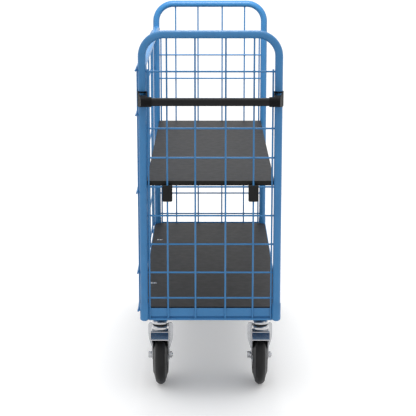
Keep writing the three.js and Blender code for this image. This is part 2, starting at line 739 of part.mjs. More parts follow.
// The bolt through bracket and post, along y, with its nut behind the collar.
function handleBolt() {
  const collarRadius = tubeRadius + CONTACT_GAP + BRACKET_WALL;
  const headSeat = -(collarRadius + BRACKET_WEB + CONTACT_GAP);
  const nutSeat = collarRadius + CONTACT_GAP;
  const head = rod(HANDLE_BOLT_HEAD_RADIUS, HANDLE_BOLT_HEAD_HEIGHT, BOLT_SIDES, "y");
  const nut = rod(HANDLE_BOLT_HEAD_RADIUS, HANDLE_NUT_HEIGHT, HEX_SIDES, "y");
  const start = headSeat - HANDLE_BOLT_HEAD_HEIGHT / 2;
  const end = nutSeat + HANDLE_NUT_HEIGHT + HANDLE_BOLT_RADIUS;
  const shank = rod(HANDLE_BOLT_RADIUS, end - start, BOLT_SIDES, "y");
  return join(
    shank.translate(0, (start + end) / 2, 0),
    head.translate(0, headSeat - HANDLE_BOLT_HEAD_HEIGHT / 2, 0),
    nut.translate(0, nutSeat + HANDLE_NUT_HEIGHT / 2, 0),
  );
}

// Wheels, centred on the origin and turning about x

function mirroredProfile(flank) {
  const mirrored = flank.map(([radius, place]) => [radius, -place]).reverse();
  return [...flank, ...mirrored, flank[0]];
}

// The tread's flats are at the wheel's radius, and one of them is at the bottom.
function tyre() {
  const half = TYRE_WIDTH / 2;
  const tread = WHEEL_RADIUS / Math.cos(Math.PI / WHEEL_SEGMENTS);
  const flank = [
    [tyreBore, -TYRE_SEAT_WIDTH / 2],
    [tyreBore + TYRE_BEAD, -half],
    [tread - SHOULDER_DROP, -half * SHOULDER_SHARE],
    [tread, -half * TREAD_SHARE],
  ];
  return turned(mirroredProfile(flank), WHEEL_SEGMENTS, "x", Math.PI / WHEEL_SEGMENTS);
}

function rim() {
  const outer = tyreBore - CONTACT_GAP;
  const seat = TYRE_SEAT_WIDTH / 2;
  const flank = [
    [BUSH_RADIUS + CONTACT_GAP, -HUB_WIDTH / 2],
    [HUB_RADIUS, -HUB_WIDTH / 2],
    [outer - 2 * RIM_WALL, -WEB_THICKNESS / 2],
    [outer - RIM_WALL, -seat],
    [outer, -seat],
  ];
  return turned(mirroredProfile(flank), WHEEL_SEGMENTS, "x", Math.PI / WHEEL_SEGMENTS);
}

function bush() {
  const inner = clearOf(AXLE_RADIUS, TUBE_SIDES);
  const half = HUB_WIDTH / 2;
  const profile = [
    [inner, -half],
    [BUSH_RADIUS, -half],
    [BUSH_RADIUS, half],
    [inner, half],
    [inner, -half],
  ];
  return turned(profile, TUBE_SIDES, "x");
}

function axleBolt() {
  const face = bossFace + CONTACT_GAP;
  const washer = rod(AXLE_WASHER_RADIUS, AXLE_WASHER_THICKNESS, TUBE_SIDES, "x");
  const head = rod(AXLE_HEX_RADIUS, AXLE_HEAD_HEIGHT, HEX_SIDES, "x");
  const headX = -(face + AXLE_WASHER_THICKNESS + AXLE_HEAD_HEIGHT / 2);
  const start = headX;
  const end = face + AXLE_NUT_HEIGHT + AXLE_TAIL;
  const shank = rod(AXLE_RADIUS, end - start, BOLT_SIDES, "x");
  return join(
    shank.translate((start + end) / 2, 0, 0),
    head.translate(headX, 0, 0),
    washer.translate(-(face + AXLE_WASHER_THICKNESS / 2), 0, 0),
  );
}

function axleNut() {
  const nut = rod(AXLE_HEX_RADIUS, AXLE_NUT_HEIGHT, HEX_SIDES, "x");
  const thread = rod(AXLE_RADIUS + CONTACT_GAP, AXLE_NUT_HEIGHT + OVERRUN, BOLT_SIDES, "x");
  return cut(nut, thread);
}

// Castors, with the upright axis at x = 0 and y = 0

// The upper half of a box with two round corners, as an outline in (x, z).
function archOutline(halfWidth, bottom, top, radius) {
  const shape = new THREE.Shape();
  shape.moveTo(halfWidth, bottom);
  shape.lineTo(-halfWidth, bottom);
  shape.lineTo(-halfWidth, top - radius);
  shape.quadraticCurveTo(-halfWidth, top, -halfWidth + radius, top);
  shape.lineTo(halfWidth - radius, top);
  shape.quadraticCurveTo(halfWidth, top, halfWidth, top - radius);
  shape.lineTo(halfWidth, bottom);
  return shape;
}

// A fork pressed from one sheet: a hood over the wheel, trimmed to the side view's outline.
function pressedFork(sideOutline, front, rear, top) {
  const bottom = WHEEL_RADIUS - FORK_EAR_RADIUS - OVERRUN;
  const outer = archOutline(FORK_WIDTH / 2, bottom, top, PRESS_RADIUS);
  const inner = archOutline(
    FORK_WIDTH / 2 - FORK_SHEET,
    bottom - OVERRUN,
    top - FORK_SHEET,
    PRESS_RADIUS - FORK_SHEET,
  );
  const hood = prism(outer, rear - front, "y").translate(0, (front + rear) / 2, 0);
  const room = prism(inner, rear - front + OVERRUN, "y");
  room.translate(0, (front + rear + OVERRUN) / 2 + FORK_SHEET, 0);
  return common(cut(hood, room), prism(sideOutline, FORK_WIDTH + 2 * OVERRUN, "x"));
}

// The round end of a leg, in two arcs so that it has facets enough.
function addEar(shape, y, start, end) {
  const middle = (start + end) / 2;
  shape.absarc(y, WHEEL_RADIUS, FORK_EAR_RADIUS, start, middle, false);
  shape.absarc(y, WHEEL_RADIUS, FORK_EAR_RADIUS, middle, end, false);
}

// A leg runs from the crown back to a round ear at the axle.
function swivelSideOutline() {
  const shape = new THREE.Shape();
  shape.moveTo(-FORK_CROWN_FRONT, crownTop - PRESS_RADIUS);
  shape.lineTo(-FORK_CROWN_FRONT - APRON_FLARE, apronBottom);
  addEar(shape, CASTOR_TRAIL, (-5 * Math.PI) / 6, 0);
  shape.lineTo(FORK_CROWN_REAR, crownTop);
  shape.lineTo(PRESS_RADIUS - FORK_CROWN_FRONT, crownTop);
  shape.lineTo(-FORK_CROWN_FRONT, crownTop - PRESS_RADIUS);
  return shape;
}

// The flange along a leg's rear edge, full in its upper half and running out at the ear.
function rearFlange(side) {
  const outer = FORK_WIDTH / 2;
  const earTop = WHEEL_RADIUS + FORK_EAR_RADIUS;
  const top = crownTop - FORK_SHEET;
  const outline = [
    [side * (outer - FORK_SHEET), top],
    [side * (outer - FORK_SHEET), earTop],
    [side * outer, earTop],
    [side * (outer + FORK_FLANGE), (earTop + top) / 2],
    [side * (outer + FORK_FLANGE), top - FORK_FLANGE / 2],
    [side * (outer + FORK_FLANGE / 2), top],
  ];
  const lean = (CASTOR_TRAIL + FORK_EAR_RADIUS - FORK_CROWN_REAR) / (crownTop - WHEEL_RADIUS);
  const plate = prism(outline, FORK_SHEET, "y").translate(0, -FORK_SHEET / 2, -crownTop);
  const slant = new THREE.Matrix4().set(1, 0, 0, 0, 0, 1, -lean, 0, 0, 0, 1, 0, 0, 0, 0, 1);
  return plate.applyMatrix4(slant).translate(0, FORK_CROWN_REAR, crownTop);
}

function axleHole(y) {
  const hole = rod(AXLE_RADIUS + CONTACT_GAP, FORK_WIDTH + 2 * OVERRUN, BOLT_SIDES, "x");
  return hole.translate(0, y, WHEEL_RADIUS);
}

// The raised rings round the axle on the outsides of both legs.
function axleBosses(y) {
  const depth = FORK_SHEET / 2 + AXLE_BOSS_HEIGHT;
  const place = (FORK_WIDTH - FORK_SHEET) / 2 + depth / 2;
  return [-1, 1].map((side) => {
    const boss = rod(AXLE_BOSS_RADIUS, depth, 2 * HEX_SIDES, "x");
    return boss.translate(side * place, y, WHEEL_RADIUS);
  });
}

// The sheet in front, which rounds off the crown and slopes out to the apron's edge.
function apron(front) {
  const bottom = apronBottom - OVERRUN;
  const arch = prism(archOutline(FORK_WIDTH / 2, bottom, crownTop, PRESS_RADIUS), 4 * FORK_CROWN_FRONT, "y");
  const sheet = prism(
    [
      [PRESS_RADIUS - FORK_CROWN_FRONT, crownTop],
      [-FORK_CROWN_FRONT, crownTop - PRESS_RADIUS],
      [front, apronBottom],
      [front + APRON_EDGE, apronBottom],
      [APRON_EDGE - FORK_CROWN_FRONT, crownTop - PRESS_RADIUS],
      [APRON_EDGE + PRESS_RADIUS - FORK_CROWN_FRONT, crownTop - FORK_SHEET],
      [APRON_EDGE + PRESS_RADIUS - FORK_CROWN_FRONT, crownTop],
    ],
    FORK_WIDTH + OVERRUN,
    "x",
  );
  return common(arch, sheet);
}

function swivelFork() {
  const rear = CASTOR_TRAIL + FORK_EAR_RADIUS;
  const front = -FORK_CROWN_FRONT - APRON_FLARE;
  const hood = pressedFork(swivelSideOutline(), front, rear, crownTop);
  const cup = turned(
    [
      [0, crownTop - FORK_SHEET],
      [RACE_RADIUS, crownTop - FORK_SHEET],
      [RACE_RADIUS, crownTop],
      [CUP_RADIUS, cupTop],
      [0, cupTop],
    ],
    HEAD_SEGMENTS,
    "z",
  );
  const pinHole = upright(
    clearOf(PIN_RADIUS, BOLT_SIDES),
    crownTop - FORK_SHEET - OVERRUN,
    cupTop + OVERRUN,
    BOLT_SIDES,
  );
  return cut(
    join(hood, apron(front), cup, rearFlange(-1), rearFlange(1), ...axleBosses(CASTOR_TRAIL)),
    pinHole,
    axleHole(CASTOR_TRAIL),
  );
}

// The upper race of the swivel head, held against the beam by the kingpin.
function swivelHead() {
  const bore = clearOf(PIN_RADIUS, HEAD_SEGMENTS);
  const profile = [
    [bore, raceBottom],
    [CUP_RADIUS, raceBottom],
    [RACE_RADIUS, raceBottom + RACE_HEIGHT / 8],
    [RACE_RADIUS, raceBottom + RACE_HEIGHT / 4],
    [RACE_NECK_RADIUS, castorTop],
    [bore, castorTop],
    [bore, raceBottom],
  ];
  return turned(profile, HEAD_SEGMENTS, "z");
}

// A bolt up through a castor's crown and the beam's floor, with its nut inside the beam.
function crownBolt(crownBottom) {
  const headTop = crownBottom - CONTACT_GAP;
  const nutBottom = beamBottom + BEAM_FLOOR + CONTACT_GAP;
  const end = nutBottom + PIN_NUT_HEIGHT + PIN_RADIUS / 2;
  return join(
    upright(PIN_HEAD_RADIUS, headTop - PIN_HEAD_HEIGHT, headTop, HEX_SIDES),
    upright(PIN_RADIUS, headTop - PIN_HEAD_HEIGHT / 2, end, BOLT_SIDES),
    upright(PIN_HEAD_RADIUS, nutBottom, nutBottom + PIN_NUT_HEIGHT, HEX_SIDES),
  );
}

function fixedFork() {
  const half = FIXED_CROWN_LENGTH / 2;
  const shoulder = castorTop - FIXED_CROWN_HEIGHT;
  const outline = new THREE.Shape();
  outline.moveTo(-half, castorTop - PRESS_RADIUS);
  outline.lineTo(-half, shoulder);
  addEar(outline, 0, (-11 * Math.PI) / 12, -Math.PI / 12);
  outline.lineTo(half, shoulder);
  outline.lineTo(half, castorTop);
  outline.lineTo(PRESS_RADIUS - half, castorTop);
  outline.lineTo(-half, castorTop - PRESS_RADIUS);
  const boltHole = upright(
    clearOf(PIN_RADIUS, BOLT_SIDES),
    castorTop - FORK_SHEET - OVERRUN,
    castorTop + OVERRUN,
    BOLT_SIDES,
  );
  return cut(
    join(pressedFork(outline, -half, half, castorTop), ...axleBosses(0)),
    boltHole,
    axleHole(0),
  );
}

// Assembly

function at(object, x, y, z) {
  object.position.set(x, y, z);
  return object;
}

function mirroredX(geometryMaker) {
  const geometry = geometryMaker();
  const plain = geometry.isBufferGeometry ? geometry : toGeometry(geometry);
  plain.applyMatrix4(new THREE.Matrix4().makeScale(-1, 1, 1));
  const index = plain.index.array;
  for (let i = 0; i < index.length; i += 3) [index[i + 1], index[i + 2]] = [index[i + 2], index[i + 1]];
  plain.computeVertexNormals();
  return plain;
}

function wheelAndAxle(name) {
  const group = new THREE.Group();
  const nutX = bossFace + CONTACT_GAP + AXLE_NUT_HEIGHT / 2;
  group.add(
    named(`${name}_tyre`, tyre(), rubber),
    named(`${name}_rim`, rim(), zinc),
    named(`${name}_bush`, bush(), blackPlastic),
    named(`${name}_axle_bolt`, axleBolt(), zinc),
    at(named(`${name}_axle_nut`, axleNut(), zinc), nutX, 0, 0),
  );
  return group;
}

function swivelCastor(name) {
  const castor = new THREE.Group();
  const crownBottom = crownTop - FORK_SHEET;
  castor.add(
    named(`${name}_swivel_head`, swivelHead(), zinc),
    named(`${name}_kingpin`, crownBolt(crownBottom), zinc),
    named(`${name}_fork`, swivelFork(), zinc),
    at(wheelAndAxle(name), 0, CASTOR_TRAIL, WHEEL_RADIUS),
  );
  return castor;
}

function fixedCastor(name) {
  const castor = new THREE.Group();
  const crownBottom = castorTop - FORK_SHEET;
  castor.add(
    named(`${name}_fork`, fixedFork(), zinc),
    named(`${name}_crown_bolt`, crownBolt(crownBottom), zinc),
    at(wheelAndAxle(name), 0, 0, WHEEL_RADIUS),
  );
  return castor;
}

function turnedRound(object) {
  object.rotation.z = Math.PI;
  object.position.y = HOOP_SPACING;
  return object;
}

function baseFrame() {
  const group = new THREE.Group();
  group.add(
    named("front_rail", endRail(), blueCoat),
    turnedRound(named("rear_rail", endRail(), blueCoat)),
    named("right_rail", sideRail(), blueCoat),
    turnedRound(named("left_rail", sideRail(), blueCoat)),
    at(named("front_castor_beam", castorBeam(), blueCoat), 0, CASTOR_END_INSET, 0),
    at(named("rear_castor_beam", castorBeam(), blueCoat), 0, HOOP_SPACING - CASTOR_END_INSET, 0),
  );
  for (const [end, y] of [["front", 0], ["rear", HOOP_SPACING]]) {
    for (const [side, x] of [["left", -postX], ["right", postX]]) {
      group.add(at(named(`${end}_${side}_socket`, cornerSocket(), blueCoat), x, y, 0));
    }
  }
  return group;
}

function walls() {
  const group = new THREE.Group();
  group.add(
    named("front_hoop", hoop(true), blueCoat),
    at(named("rear_hoop", hoop(false), blueCoat), 0, HOOP_SPACING, 0),
    named("front_mesh", endMesh(), blueCoat),
    turnedRound(named("rear_mesh", endMesh(), blueCoat)),
    named("side_top_rail", sideTopRail(), blueCoat),
    named("side_mesh", sideMesh(), blueCoat),
  );
  return group;
}

function deckGroup() {
  const group = new THREE.Group();
  group.add(named("bottom_deck", bottomDeck(), darkBoard));
  ["front", "rear"].forEach((end, i) => {
    const fixing = named(`${end}_deck_fixing`, deckFixing(), zinc);
    group.add(at(fixing, fixingX, FIXING_SHARES[i] * HOOP_SPACING, 0));
  });
  return group;
}

function shelfGroup() {
  const group = new THREE.Group();
  group.add(named("shelf_board", shelfBoard(), darkBoard));
  for (const [side, x] of [["left", -hookX], ["right", hookX]]) {
    group.add(at(named(`front_${side}_shelf_hook`, shelfHook(), blackSteel), x, 0, 0));
    const rear = turnedRound(named(`rear_${side}_shelf_hook`, shelfHook(), blackSteel));
    rear.position.x = x;
    group.add(rear);
  }
  return group;
}

function pushHandle() {
  const group = new THREE.Group();
  group.add(
    named("handle_bar", handleBar(), blackSteel),
    named("right_handle_bracket", handleBracket(), blackPlastic),
    named("left_handle_bracket", mirroredX(handleBracket), blackPlastic),
    at(named("right_handle_bolt", handleBolt(), zinc), postX, 0, handleZ),
    at(named("left_handle_bolt", handleBolt(), zinc), -postX, 0, handleZ),
  );
  return group;
}

const trolley = new THREE.Group();
trolley.name = "shelf_trolley";
trolley.add(
  baseFrame(),
  walls(),
  deckGroup(),
  shelfGroup(),
  pushHandle(),
  at(swivelCastor("front_left"), -castorX, CASTOR_END_INSET, 0),
  at(swivelCastor("front_right"), castorX, CASTOR_END_INSET, 0),
  at(fixedCastor("rear_left"), -castorX, HOOP_SPACING - CASTOR_END_INSET, 0),
  at(fixedCastor("rear_right"), castorX, HOOP_SPACING - CASTOR_END_INSET, 0),
);

// The origin is on the floor, at the middle of the trolley's outer box.
const bounds = new THREE.Box3().setFromObject(trolley, true);
const middle = bounds.getCenter(new THREE.Vector3());
trolley.position.set(-middle.x, -middle.y, -bounds.min.z);

export default trolley;
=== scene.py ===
# The looks of a shelf trolley, built round its frame of construction parts.
# Sizes are in millimetres from the foot of the push-handle end: x runs across the trolley, y from the
# middle of the front hoop to the far end, z up from the floor.

import math

import bmesh
import bpy
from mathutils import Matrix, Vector


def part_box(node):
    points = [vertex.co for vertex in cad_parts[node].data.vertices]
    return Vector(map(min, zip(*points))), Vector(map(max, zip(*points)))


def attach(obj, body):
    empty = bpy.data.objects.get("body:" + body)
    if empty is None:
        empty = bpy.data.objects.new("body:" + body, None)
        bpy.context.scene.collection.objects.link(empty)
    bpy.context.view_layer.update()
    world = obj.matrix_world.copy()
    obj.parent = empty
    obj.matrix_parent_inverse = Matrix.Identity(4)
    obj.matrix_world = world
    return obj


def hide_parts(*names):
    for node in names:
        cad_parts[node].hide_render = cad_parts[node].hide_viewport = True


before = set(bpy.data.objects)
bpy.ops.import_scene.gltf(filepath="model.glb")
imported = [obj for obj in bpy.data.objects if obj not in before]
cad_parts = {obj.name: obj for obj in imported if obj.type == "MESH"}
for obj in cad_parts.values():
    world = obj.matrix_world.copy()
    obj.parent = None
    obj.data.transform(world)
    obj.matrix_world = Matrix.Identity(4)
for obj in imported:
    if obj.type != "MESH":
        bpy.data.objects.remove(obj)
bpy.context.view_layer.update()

MM = 0.001
hoop_low, hoop_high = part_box("front_hoop")
ORIGIN = Vector(((hoop_low.x + hoop_high.x) / 2, (hoop_low.y + hoop_high.y) / 2, 0))

# Whole trolley
FRAME_WIDTH = 450
HOOP_SPACING = 1200
POST_X = 212.5
DECK_TOP = 317
RAIL_TOP = 318
RAIL_BOTTOM = 278.5
LEDGE_TOP = 304.7
GAP = 0.3

# Tubes
TUBE_RADIUS = 12.5
TUBE_SIDES = 40
BEND_RADIUS = 68
BEND_STEPS = 14
HOOP_FOOT = 281.8
HOOP_TOP = 1199
SIDE_RAIL_HEIGHT = 1100
SADDLE_WELD = 2.1
SADDLE_WELD_BEADS = 28

# Wire mesh
WIRE_RADIUS = 2.85
WIRE_SIDES = 14
WIRE_END_ROUND = 0.8
WIRE_LAYER = 4.4
WIRE_NEAR_SIDE = 1.9
LEVEL_WIRES = [352.5, 437.5, 531, 624.5, 718, 811.5, 905, 998.5, 1083.5]
MIDDLE_WIRE_X = 47.8
HOOK_WIRE_X = 136
EDGE_WIRE_X = 194.8
WALL_LAYER_X = -227.8
WALL_WIRES = [312, 438, 699.8, 947.9, 1087.5]
WALL_UPRIGHTS = [19, 144, 372, 600, 828, 1056, 1181]
WALL_FOOT = 304
WALL_HEAD = 1097.5
WALL_OVERHANG = 8
WALL_WELD_X = -225.6
WELD_RADIUS = 3.3
TUBE_WELD_RADIUS = 4

# Base frame
RAIL_FACE = 2.8
RAIL_WALL = 3
RAIL_CREASE = 5
RAIL_LIP = 4
RAIL_LIP_HEIGHT = 6
RAIL_FOOT = 20
RAIL_LEDGE = 38
RAIL_REACH = 198.2
SIDE_RAIL_START = 14.3
SIDE_LEDGE_START = 44.1
SOCKET_RADIUS = 14
SOCKET_BORE = 12.7
SOCKET_TOP = 336
BEAM_BOTTOM = 246
BEAM_TOP = 301.4
BEAM_HALF = 25
BEAM_WALL = 3
BEAM_FLOOR = 4
PIN_HOLE = 6.5

# Boards
DECK_X = 221.4
DECK_START = 22
DECK_BOTTOM = 305
DECK_CORNER = 28
FIXING_X = -195
FIXING_PLACES = [300, 900]
FIXING_HALF_WIDTH = 11
FIXING_HALF_LENGTH = 6
FIXING_THICKNESS = 2
FIXING_SEAT = DECK_TOP - 1.9
FIXING_SCREW = 5.5
SHELF_X = 202.5
SHELF_START = 10
SHELF_BOTTOM = 721.187
SHELF_TOP = 736.187
BAND = 1.2
POCKET_TOP = SHELF_BOTTOM + 2.8

# Hooks
HOOK_WIDTH = 32
HOOK_THICKNESS = 2.5
HOOK_REACH = 62
HOOK_DROP = 52
HOOK_SLOT_WIDTH = 9
HOOK_CLEARANCE = 3.3
HOOK_SCREWS = [24, 48]

# Push handle
HANDLE_REACH = 75
HANDLE_HEIGHT = 1000
HANDLE_END = 210
BRACKET_HALF = 24
BRACKET_WALL = 2.4
BRACKET_NOSE = 15.5
BRACKET_SLEEVE = 30
BRACKET_RIM = 4.6
BRACKET_WEB = 4

# Castors
WHEEL_RADIUS = 100
CASTOR_X = 167
CASTOR_TRAIL = 50
FRONT_CASTOR_Y = 130
REAR_CASTOR_Y = 1070
FORK_HALF = 29
FORK_SHEET = 3.4
FORK_EAR = 17
CROWN_TOP = 211.6
CROWN_FRONT = 46
CROWN_REAR = 50
CROWN_ROUND = 3.6
APRON_BOTTOM = 187
APRON_FLARE = 17
FLANGE_TOP = 213.6
# Sizes of the dark ring that stands in for the shade in the gap between the cup and the head
SHADE_RING_RADIUS = 24.6
SHADE_RING_BORE = 20.8
CUP_TOP = 227.5
RACE_BOTTOM = 229
CASTOR_TOP = 245.7
FIXED_CROWN = 46
FIXED_SHOULDER = 203.7

# Wheels and their bolts
RIVETS = 6
RIVET_CIRCLE = 41.4
AXLE_RADIUS = 6
AXLE_HOLE = 6.3
AXLE_SEAT = FORK_HALF + 1.3
WASHER_THICKNESS = 2.4
BOLT_CORNER = 11
BOLT_HEAD = 9.4
NUT_HEIGHT = 7.5

X = Vector((1, 0, 0))
Y = Vector((0, 1, 0))
Z = Vector((0, 0, 1))


# Modelling helpers

def spot(x, y, z):
    """A place on the trolley as Blender sees it."""
    return ORIGIN + Vector((x, y, z)) * MM


def on_trolley(place):
    return (place - ORIGIN) / MM


def clear_selection():
    bpy.ops.object.select_all(action="DESELECT")


def select_only(piece):
    clear_selection()
    piece.select_set(True)
    bpy.context.view_layer.objects.active = piece


def settle(piece):
    """Puts the place, turn and scale of a piece into its mesh."""
    select_only(piece)
    bpy.ops.object.transform_apply(location=True, rotation=True, scale=True)
    return piece


def edit(piece, pick="VERT"):
    select_only(piece)
    bpy.ops.object.mode_set(mode="EDIT")
    bpy.ops.mesh.select_mode(type=pick)


def leave_edit():
    bpy.ops.object.mode_set(mode="OBJECT")
    return bpy.context.object


def push(x, y, z):
    """Extrudes what is selected and moves it."""
    bpy.ops.mesh.extrude_region_move(TRANSFORM_OT_translate={"value": Vector((x, y, z)) * MM})


def pick_faces(piece, test):
    """In edit mode, selects the faces whose centre and normal pass the test."""
    bpy.ops.mesh.select_all(action="DESELECT")
    bpy.ops.mesh.select_mode(type="FACE")
    mesh = bmesh.from_edit_mesh(piece.data)
    for face in mesh.faces:
        face.select_set(test(on_trolley(face.calc_center_median()), face.normal))
    bmesh.update_edit_mesh(piece.data)


def pick_edges(piece, test):
    """In edit mode, selects the edges whose two ends pass the test."""
    bpy.ops.mesh.select_all(action="DESELECT")
    bpy.ops.mesh.select_mode(type="EDGE")
    mesh = bmesh.from_edit_mesh(piece.data)
    for edge in mesh.edges:
        edge.select_set(test(on_trolley(edge.verts[0].co), on_trolley(edge.verts[1].co)))
    bmesh.update_edit_mesh(piece.data)


def modify(piece, kind, **settings):
    """Adds a modifier with these settings and applies it."""
    select_only(piece)
    modifier = piece.modifiers.new(kind.title(), kind)
    for setting, value in settings.items():
        setattr(modifier, setting, value)
    bpy.ops.object.modifier_apply(modifier=modifier.name)
    return piece


def round_edges(piece, width, segments=2, angle=35):
    return modify(
        piece, "BEVEL", width=width * MM, segments=segments, limit_method="ANGLE",
        angle_limit=math.radians(angle), use_clamp_overlap=True,
    )


def round_corners(piece, radius, segments=5):
    """Rounds the upright edges of a slab."""
    edit(piece)
    pick_edges(piece, lambda a, b: abs(a.z - b.z) > 1)
    bpy.ops.mesh.bevel(offset=radius * MM, segments=segments, affect="EDGES")
    leave_edit()


def smooth(piece, angle=35):
    """Smooth shading that leaves large flat faces flat."""
    select_only(piece)
    bpy.ops.object.shade_smooth_by_angle(angle=math.radians(angle))
    return modify(piece, "WEIGHTED_NORMAL", weight=50, keep_sharp=True)


def outward(piece):
    """Merges doubled points and points every face outwards."""
    edit(piece)
    bpy.ops.mesh.select_all(action="SELECT")
    bpy.ops.mesh.remove_doubles(threshold=0.005 * MM)
    bpy.ops.mesh.normals_make_consistent(inside=False)
    return leave_edit()


def joined(name, pieces):
    clear_selection()
    for piece in pieces:
        piece.select_set(True)
    bpy.context.view_layer.objects.active = pieces[0]
    if len(pieces) > 1:
        bpy.ops.object.join()
    pieces[0].name = name
    return pieces[0]


def combined(piece, operation, others):
    for other in others:
        modify(piece, "BOOLEAN", operation=operation, solver="EXACT", object=other)
        bpy.data.objects.remove(other)
    return piece


def cut_away(piece, *cutters):
    return combined(piece, "DIFFERENCE", cutters)


def kept_inside(piece, cutter):
    return combined(piece, "INTERSECT", [cutter])


def fused(piece, *others):
    return combined(piece, "UNION", others)


def copied(piece, name, move=(0, 0, 0)):
    """A copy with its own mesh, moved."""
    select_only(piece)
    bpy.ops.object.duplicate(linked=False)
    twin = bpy.context.object
    twin.name = name
    twin.location = Vector(move) * MM
    return settle(twin)


def mirrored(piece, name, across=0):
    """A copy on the other side of the upright plane x = across."""
    twin = copied(piece, name)
    twin.scale = (-1, 1, 1)
    twin.location = (2 * spot(across, 0, 0).x, 0, 0)
    return outward(settle(twin))


def turned_round(piece, name):
    """A copy for the other end of the trolley, turned half round about its middle."""
    twin = copied(piece, name)
    middle = spot(0, HOOP_SPACING / 2, 0)
    twin.rotation_euler = (0, 0, math.pi)
    twin.location = (2 * middle.x, 2 * middle.y, 0)
    return settle(twin)


# Turn of a primitive whose own axis is z, so that it lies along x, y or z
LIE = {"x": (0, math.pi / 2, 0), "y": (math.pi / 2, 0, 0), "z": (0, 0, 0)}
ALONG = {"x": X, "y": Y, "z": Z}


def bar(name, centre, radius, length, along, sides, end_round=0.0):
    """A round bar about its centre, with its end edges rounded."""
    clear_selection()
    bpy.ops.mesh.primitive_cylinder_add(
        vertices=sides, radius=radius * MM, depth=length * MM, location=spot(*centre),
        rotation=LIE[along])
    rod = settle(bpy.context.object)
    rod.name = name
    if end_round:
        edit(rod, "FACE")
        pick_faces(rod, lambda centre, normal: abs(normal.dot(ALONG[along])) > 0.9)
        bpy.ops.mesh.bevel(offset=end_round * MM, segments=2, affect="EDGES")
        leave_edit()
    return rod


def slab(name, low, high):
    low, high = spot(*low), spot(*high)
    clear_selection()
    bpy.ops.mesh.primitive_cube_add(size=1, location=(low + high) / 2)
    bpy.context.object.scale = high - low
    bpy.context.object.name = name
    return settle(bpy.context.object)


def lathed(name, centre, stations, along, sides=48, ring=False):
    """A ring that is extruded and resized from station to station.

    A station is (place along the axis, radius). With ring, the last station joins the first."""
    axis = ALONG[along]
    centre = spot(*centre)
    place, radius = stations[0]
    clear_selection()
    bpy.ops.mesh.primitive_circle_add(
        vertices=sides, radius=radius * MM, location=centre + axis * place * MM, rotation=LIE[along])
    piece = settle(bpy.context.object)
    edit(piece, "EDGE")
    bpy.ops.mesh.select_all(action="SELECT")
    for next_place, next_radius in stations[1:] + (stations[:1] if ring else []):
        step = axis * (next_place - place) * MM
        bpy.ops.mesh.extrude_edges_move(TRANSFORM_OT_translate={"value": step})
        share = next_radius / radius
        hub = centre + axis * next_place * MM
        bpy.ops.transform.resize(value=(share, share, share), center_override=hub)
        place, radius = next_place, next_radius
    if not ring:
        bpy.ops.mesh.select_all(action="SELECT")
        bpy.ops.mesh.fill_holes(sides=0)
    leave_edit()
    piece.name = name
    return outward(piece)


def drawn(name, points):
    """A flat outline drawn point by point and filled."""
    points = [spot(*point) for point in points]
    clear_selection()
    bpy.ops.mesh.primitive_plane_add(size=MM, location=points[0])
    outline = settle(bpy.context.object)
    edit(outline)
    bpy.ops.mesh.select_all(action="SELECT")
    bpy.ops.mesh.merge(type="CENTER")
    for here, there in zip(points, points[1:]):
        bpy.ops.mesh.extrude_vertices_move(TRANSFORM_OT_translate={"value": there - here})
    bpy.ops.mesh.select_all(action="SELECT")
    bpy.ops.mesh.edge_face_add()
    leave_edit()
    outline.name = name
    return outline


def plate(name, points, thickness):
    """A drawn outline pushed out into a solid."""
    solid = drawn(name, points)
    edit(solid, "FACE")
    bpy.ops.mesh.select_all(action="SELECT")
    push(*thickness)
    leave_edit()
    return outward(solid)


def arc(across, up, radius, start, end, steps):
    """Points on an arc in a plane, as pairs. Angles are in degrees."""
    points = []
    for step in range(steps + 1):
        angle = math.radians(start + (end - start) * step / steps)
        points.append((across + radius * math.cos(angle), up + radius * math.sin(angle)))
    return points


def dressed(piece, material, body, slot, *nodes):
    """Gives a finished piece its material, its body and the construction parts that it stands for."""
    piece.data.materials.clear()
    piece.data.materials.append(material)
    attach(piece, body)
    if nodes:
        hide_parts(*nodes)


# Materials

def linear(red, green, blue):
    """A colour given as on a screen, 0 to 255, as light."""
    parts = []
    for level in (red, green, blue):
        level /= 255
        parts.append(level / 12.92 if level <= 0.04045 else ((level + 0.055) / 1.055) ** 2.4)
    return (*parts, 1)


def new_finish(name, roughness, metallic=0.0):
    finish = bpy.data.materials.new(name)
    finish.use_nodes = True
    shader = finish.node_tree.nodes["Principled BSDF"]
    shader.inputs["Roughness"].default_value = roughness
    shader.inputs["Metallic"].default_value = metallic
    return finish, shader


def added(owner, kind, operation=None):
    """A new node for a finish or for the world."""
    node = owner.node_tree.nodes.new(kind)
    if operation:
        node.operation = operation
    return node


def link(owner, output, socket):
    owner.node_tree.links.new(output, socket)


def coordinates(finish, stretch=(1, 1, 1)):
    source = added(finish, "ShaderNodeTexCoord")
    mapping = added(finish, "ShaderNodeMapping")
    mapping.inputs["Scale"].default_value = stretch
    link(finish, source.outputs["Object"], mapping.inputs["Vector"])
    return mapping.outputs["Vector"]


def noise(finish, where, scale, detail=3.0, roughness=0.5):
    texture = added(finish, "ShaderNodeTexNoise")
    texture.inputs["Scale"].default_value = scale
    texture.inputs["Detail"].default_value = detail
    texture.inputs["Roughness"].default_value = roughness
    link(finish, where, texture.inputs["Vector"])
    return texture.outputs["Fac"]


def spread(finish, value, low, high, to_low, to_high):
    """Takes a value from one range to another."""
    node = added(finish, "ShaderNodeMapRange")
    for socket, number in zip(("From Min", "From Max", "To Min", "To Max"), (low, high, to_low, to_high)):
        node.inputs[socket].default_value = number
    link(finish, value, node.inputs["Value"])
    return node.outputs["Result"]


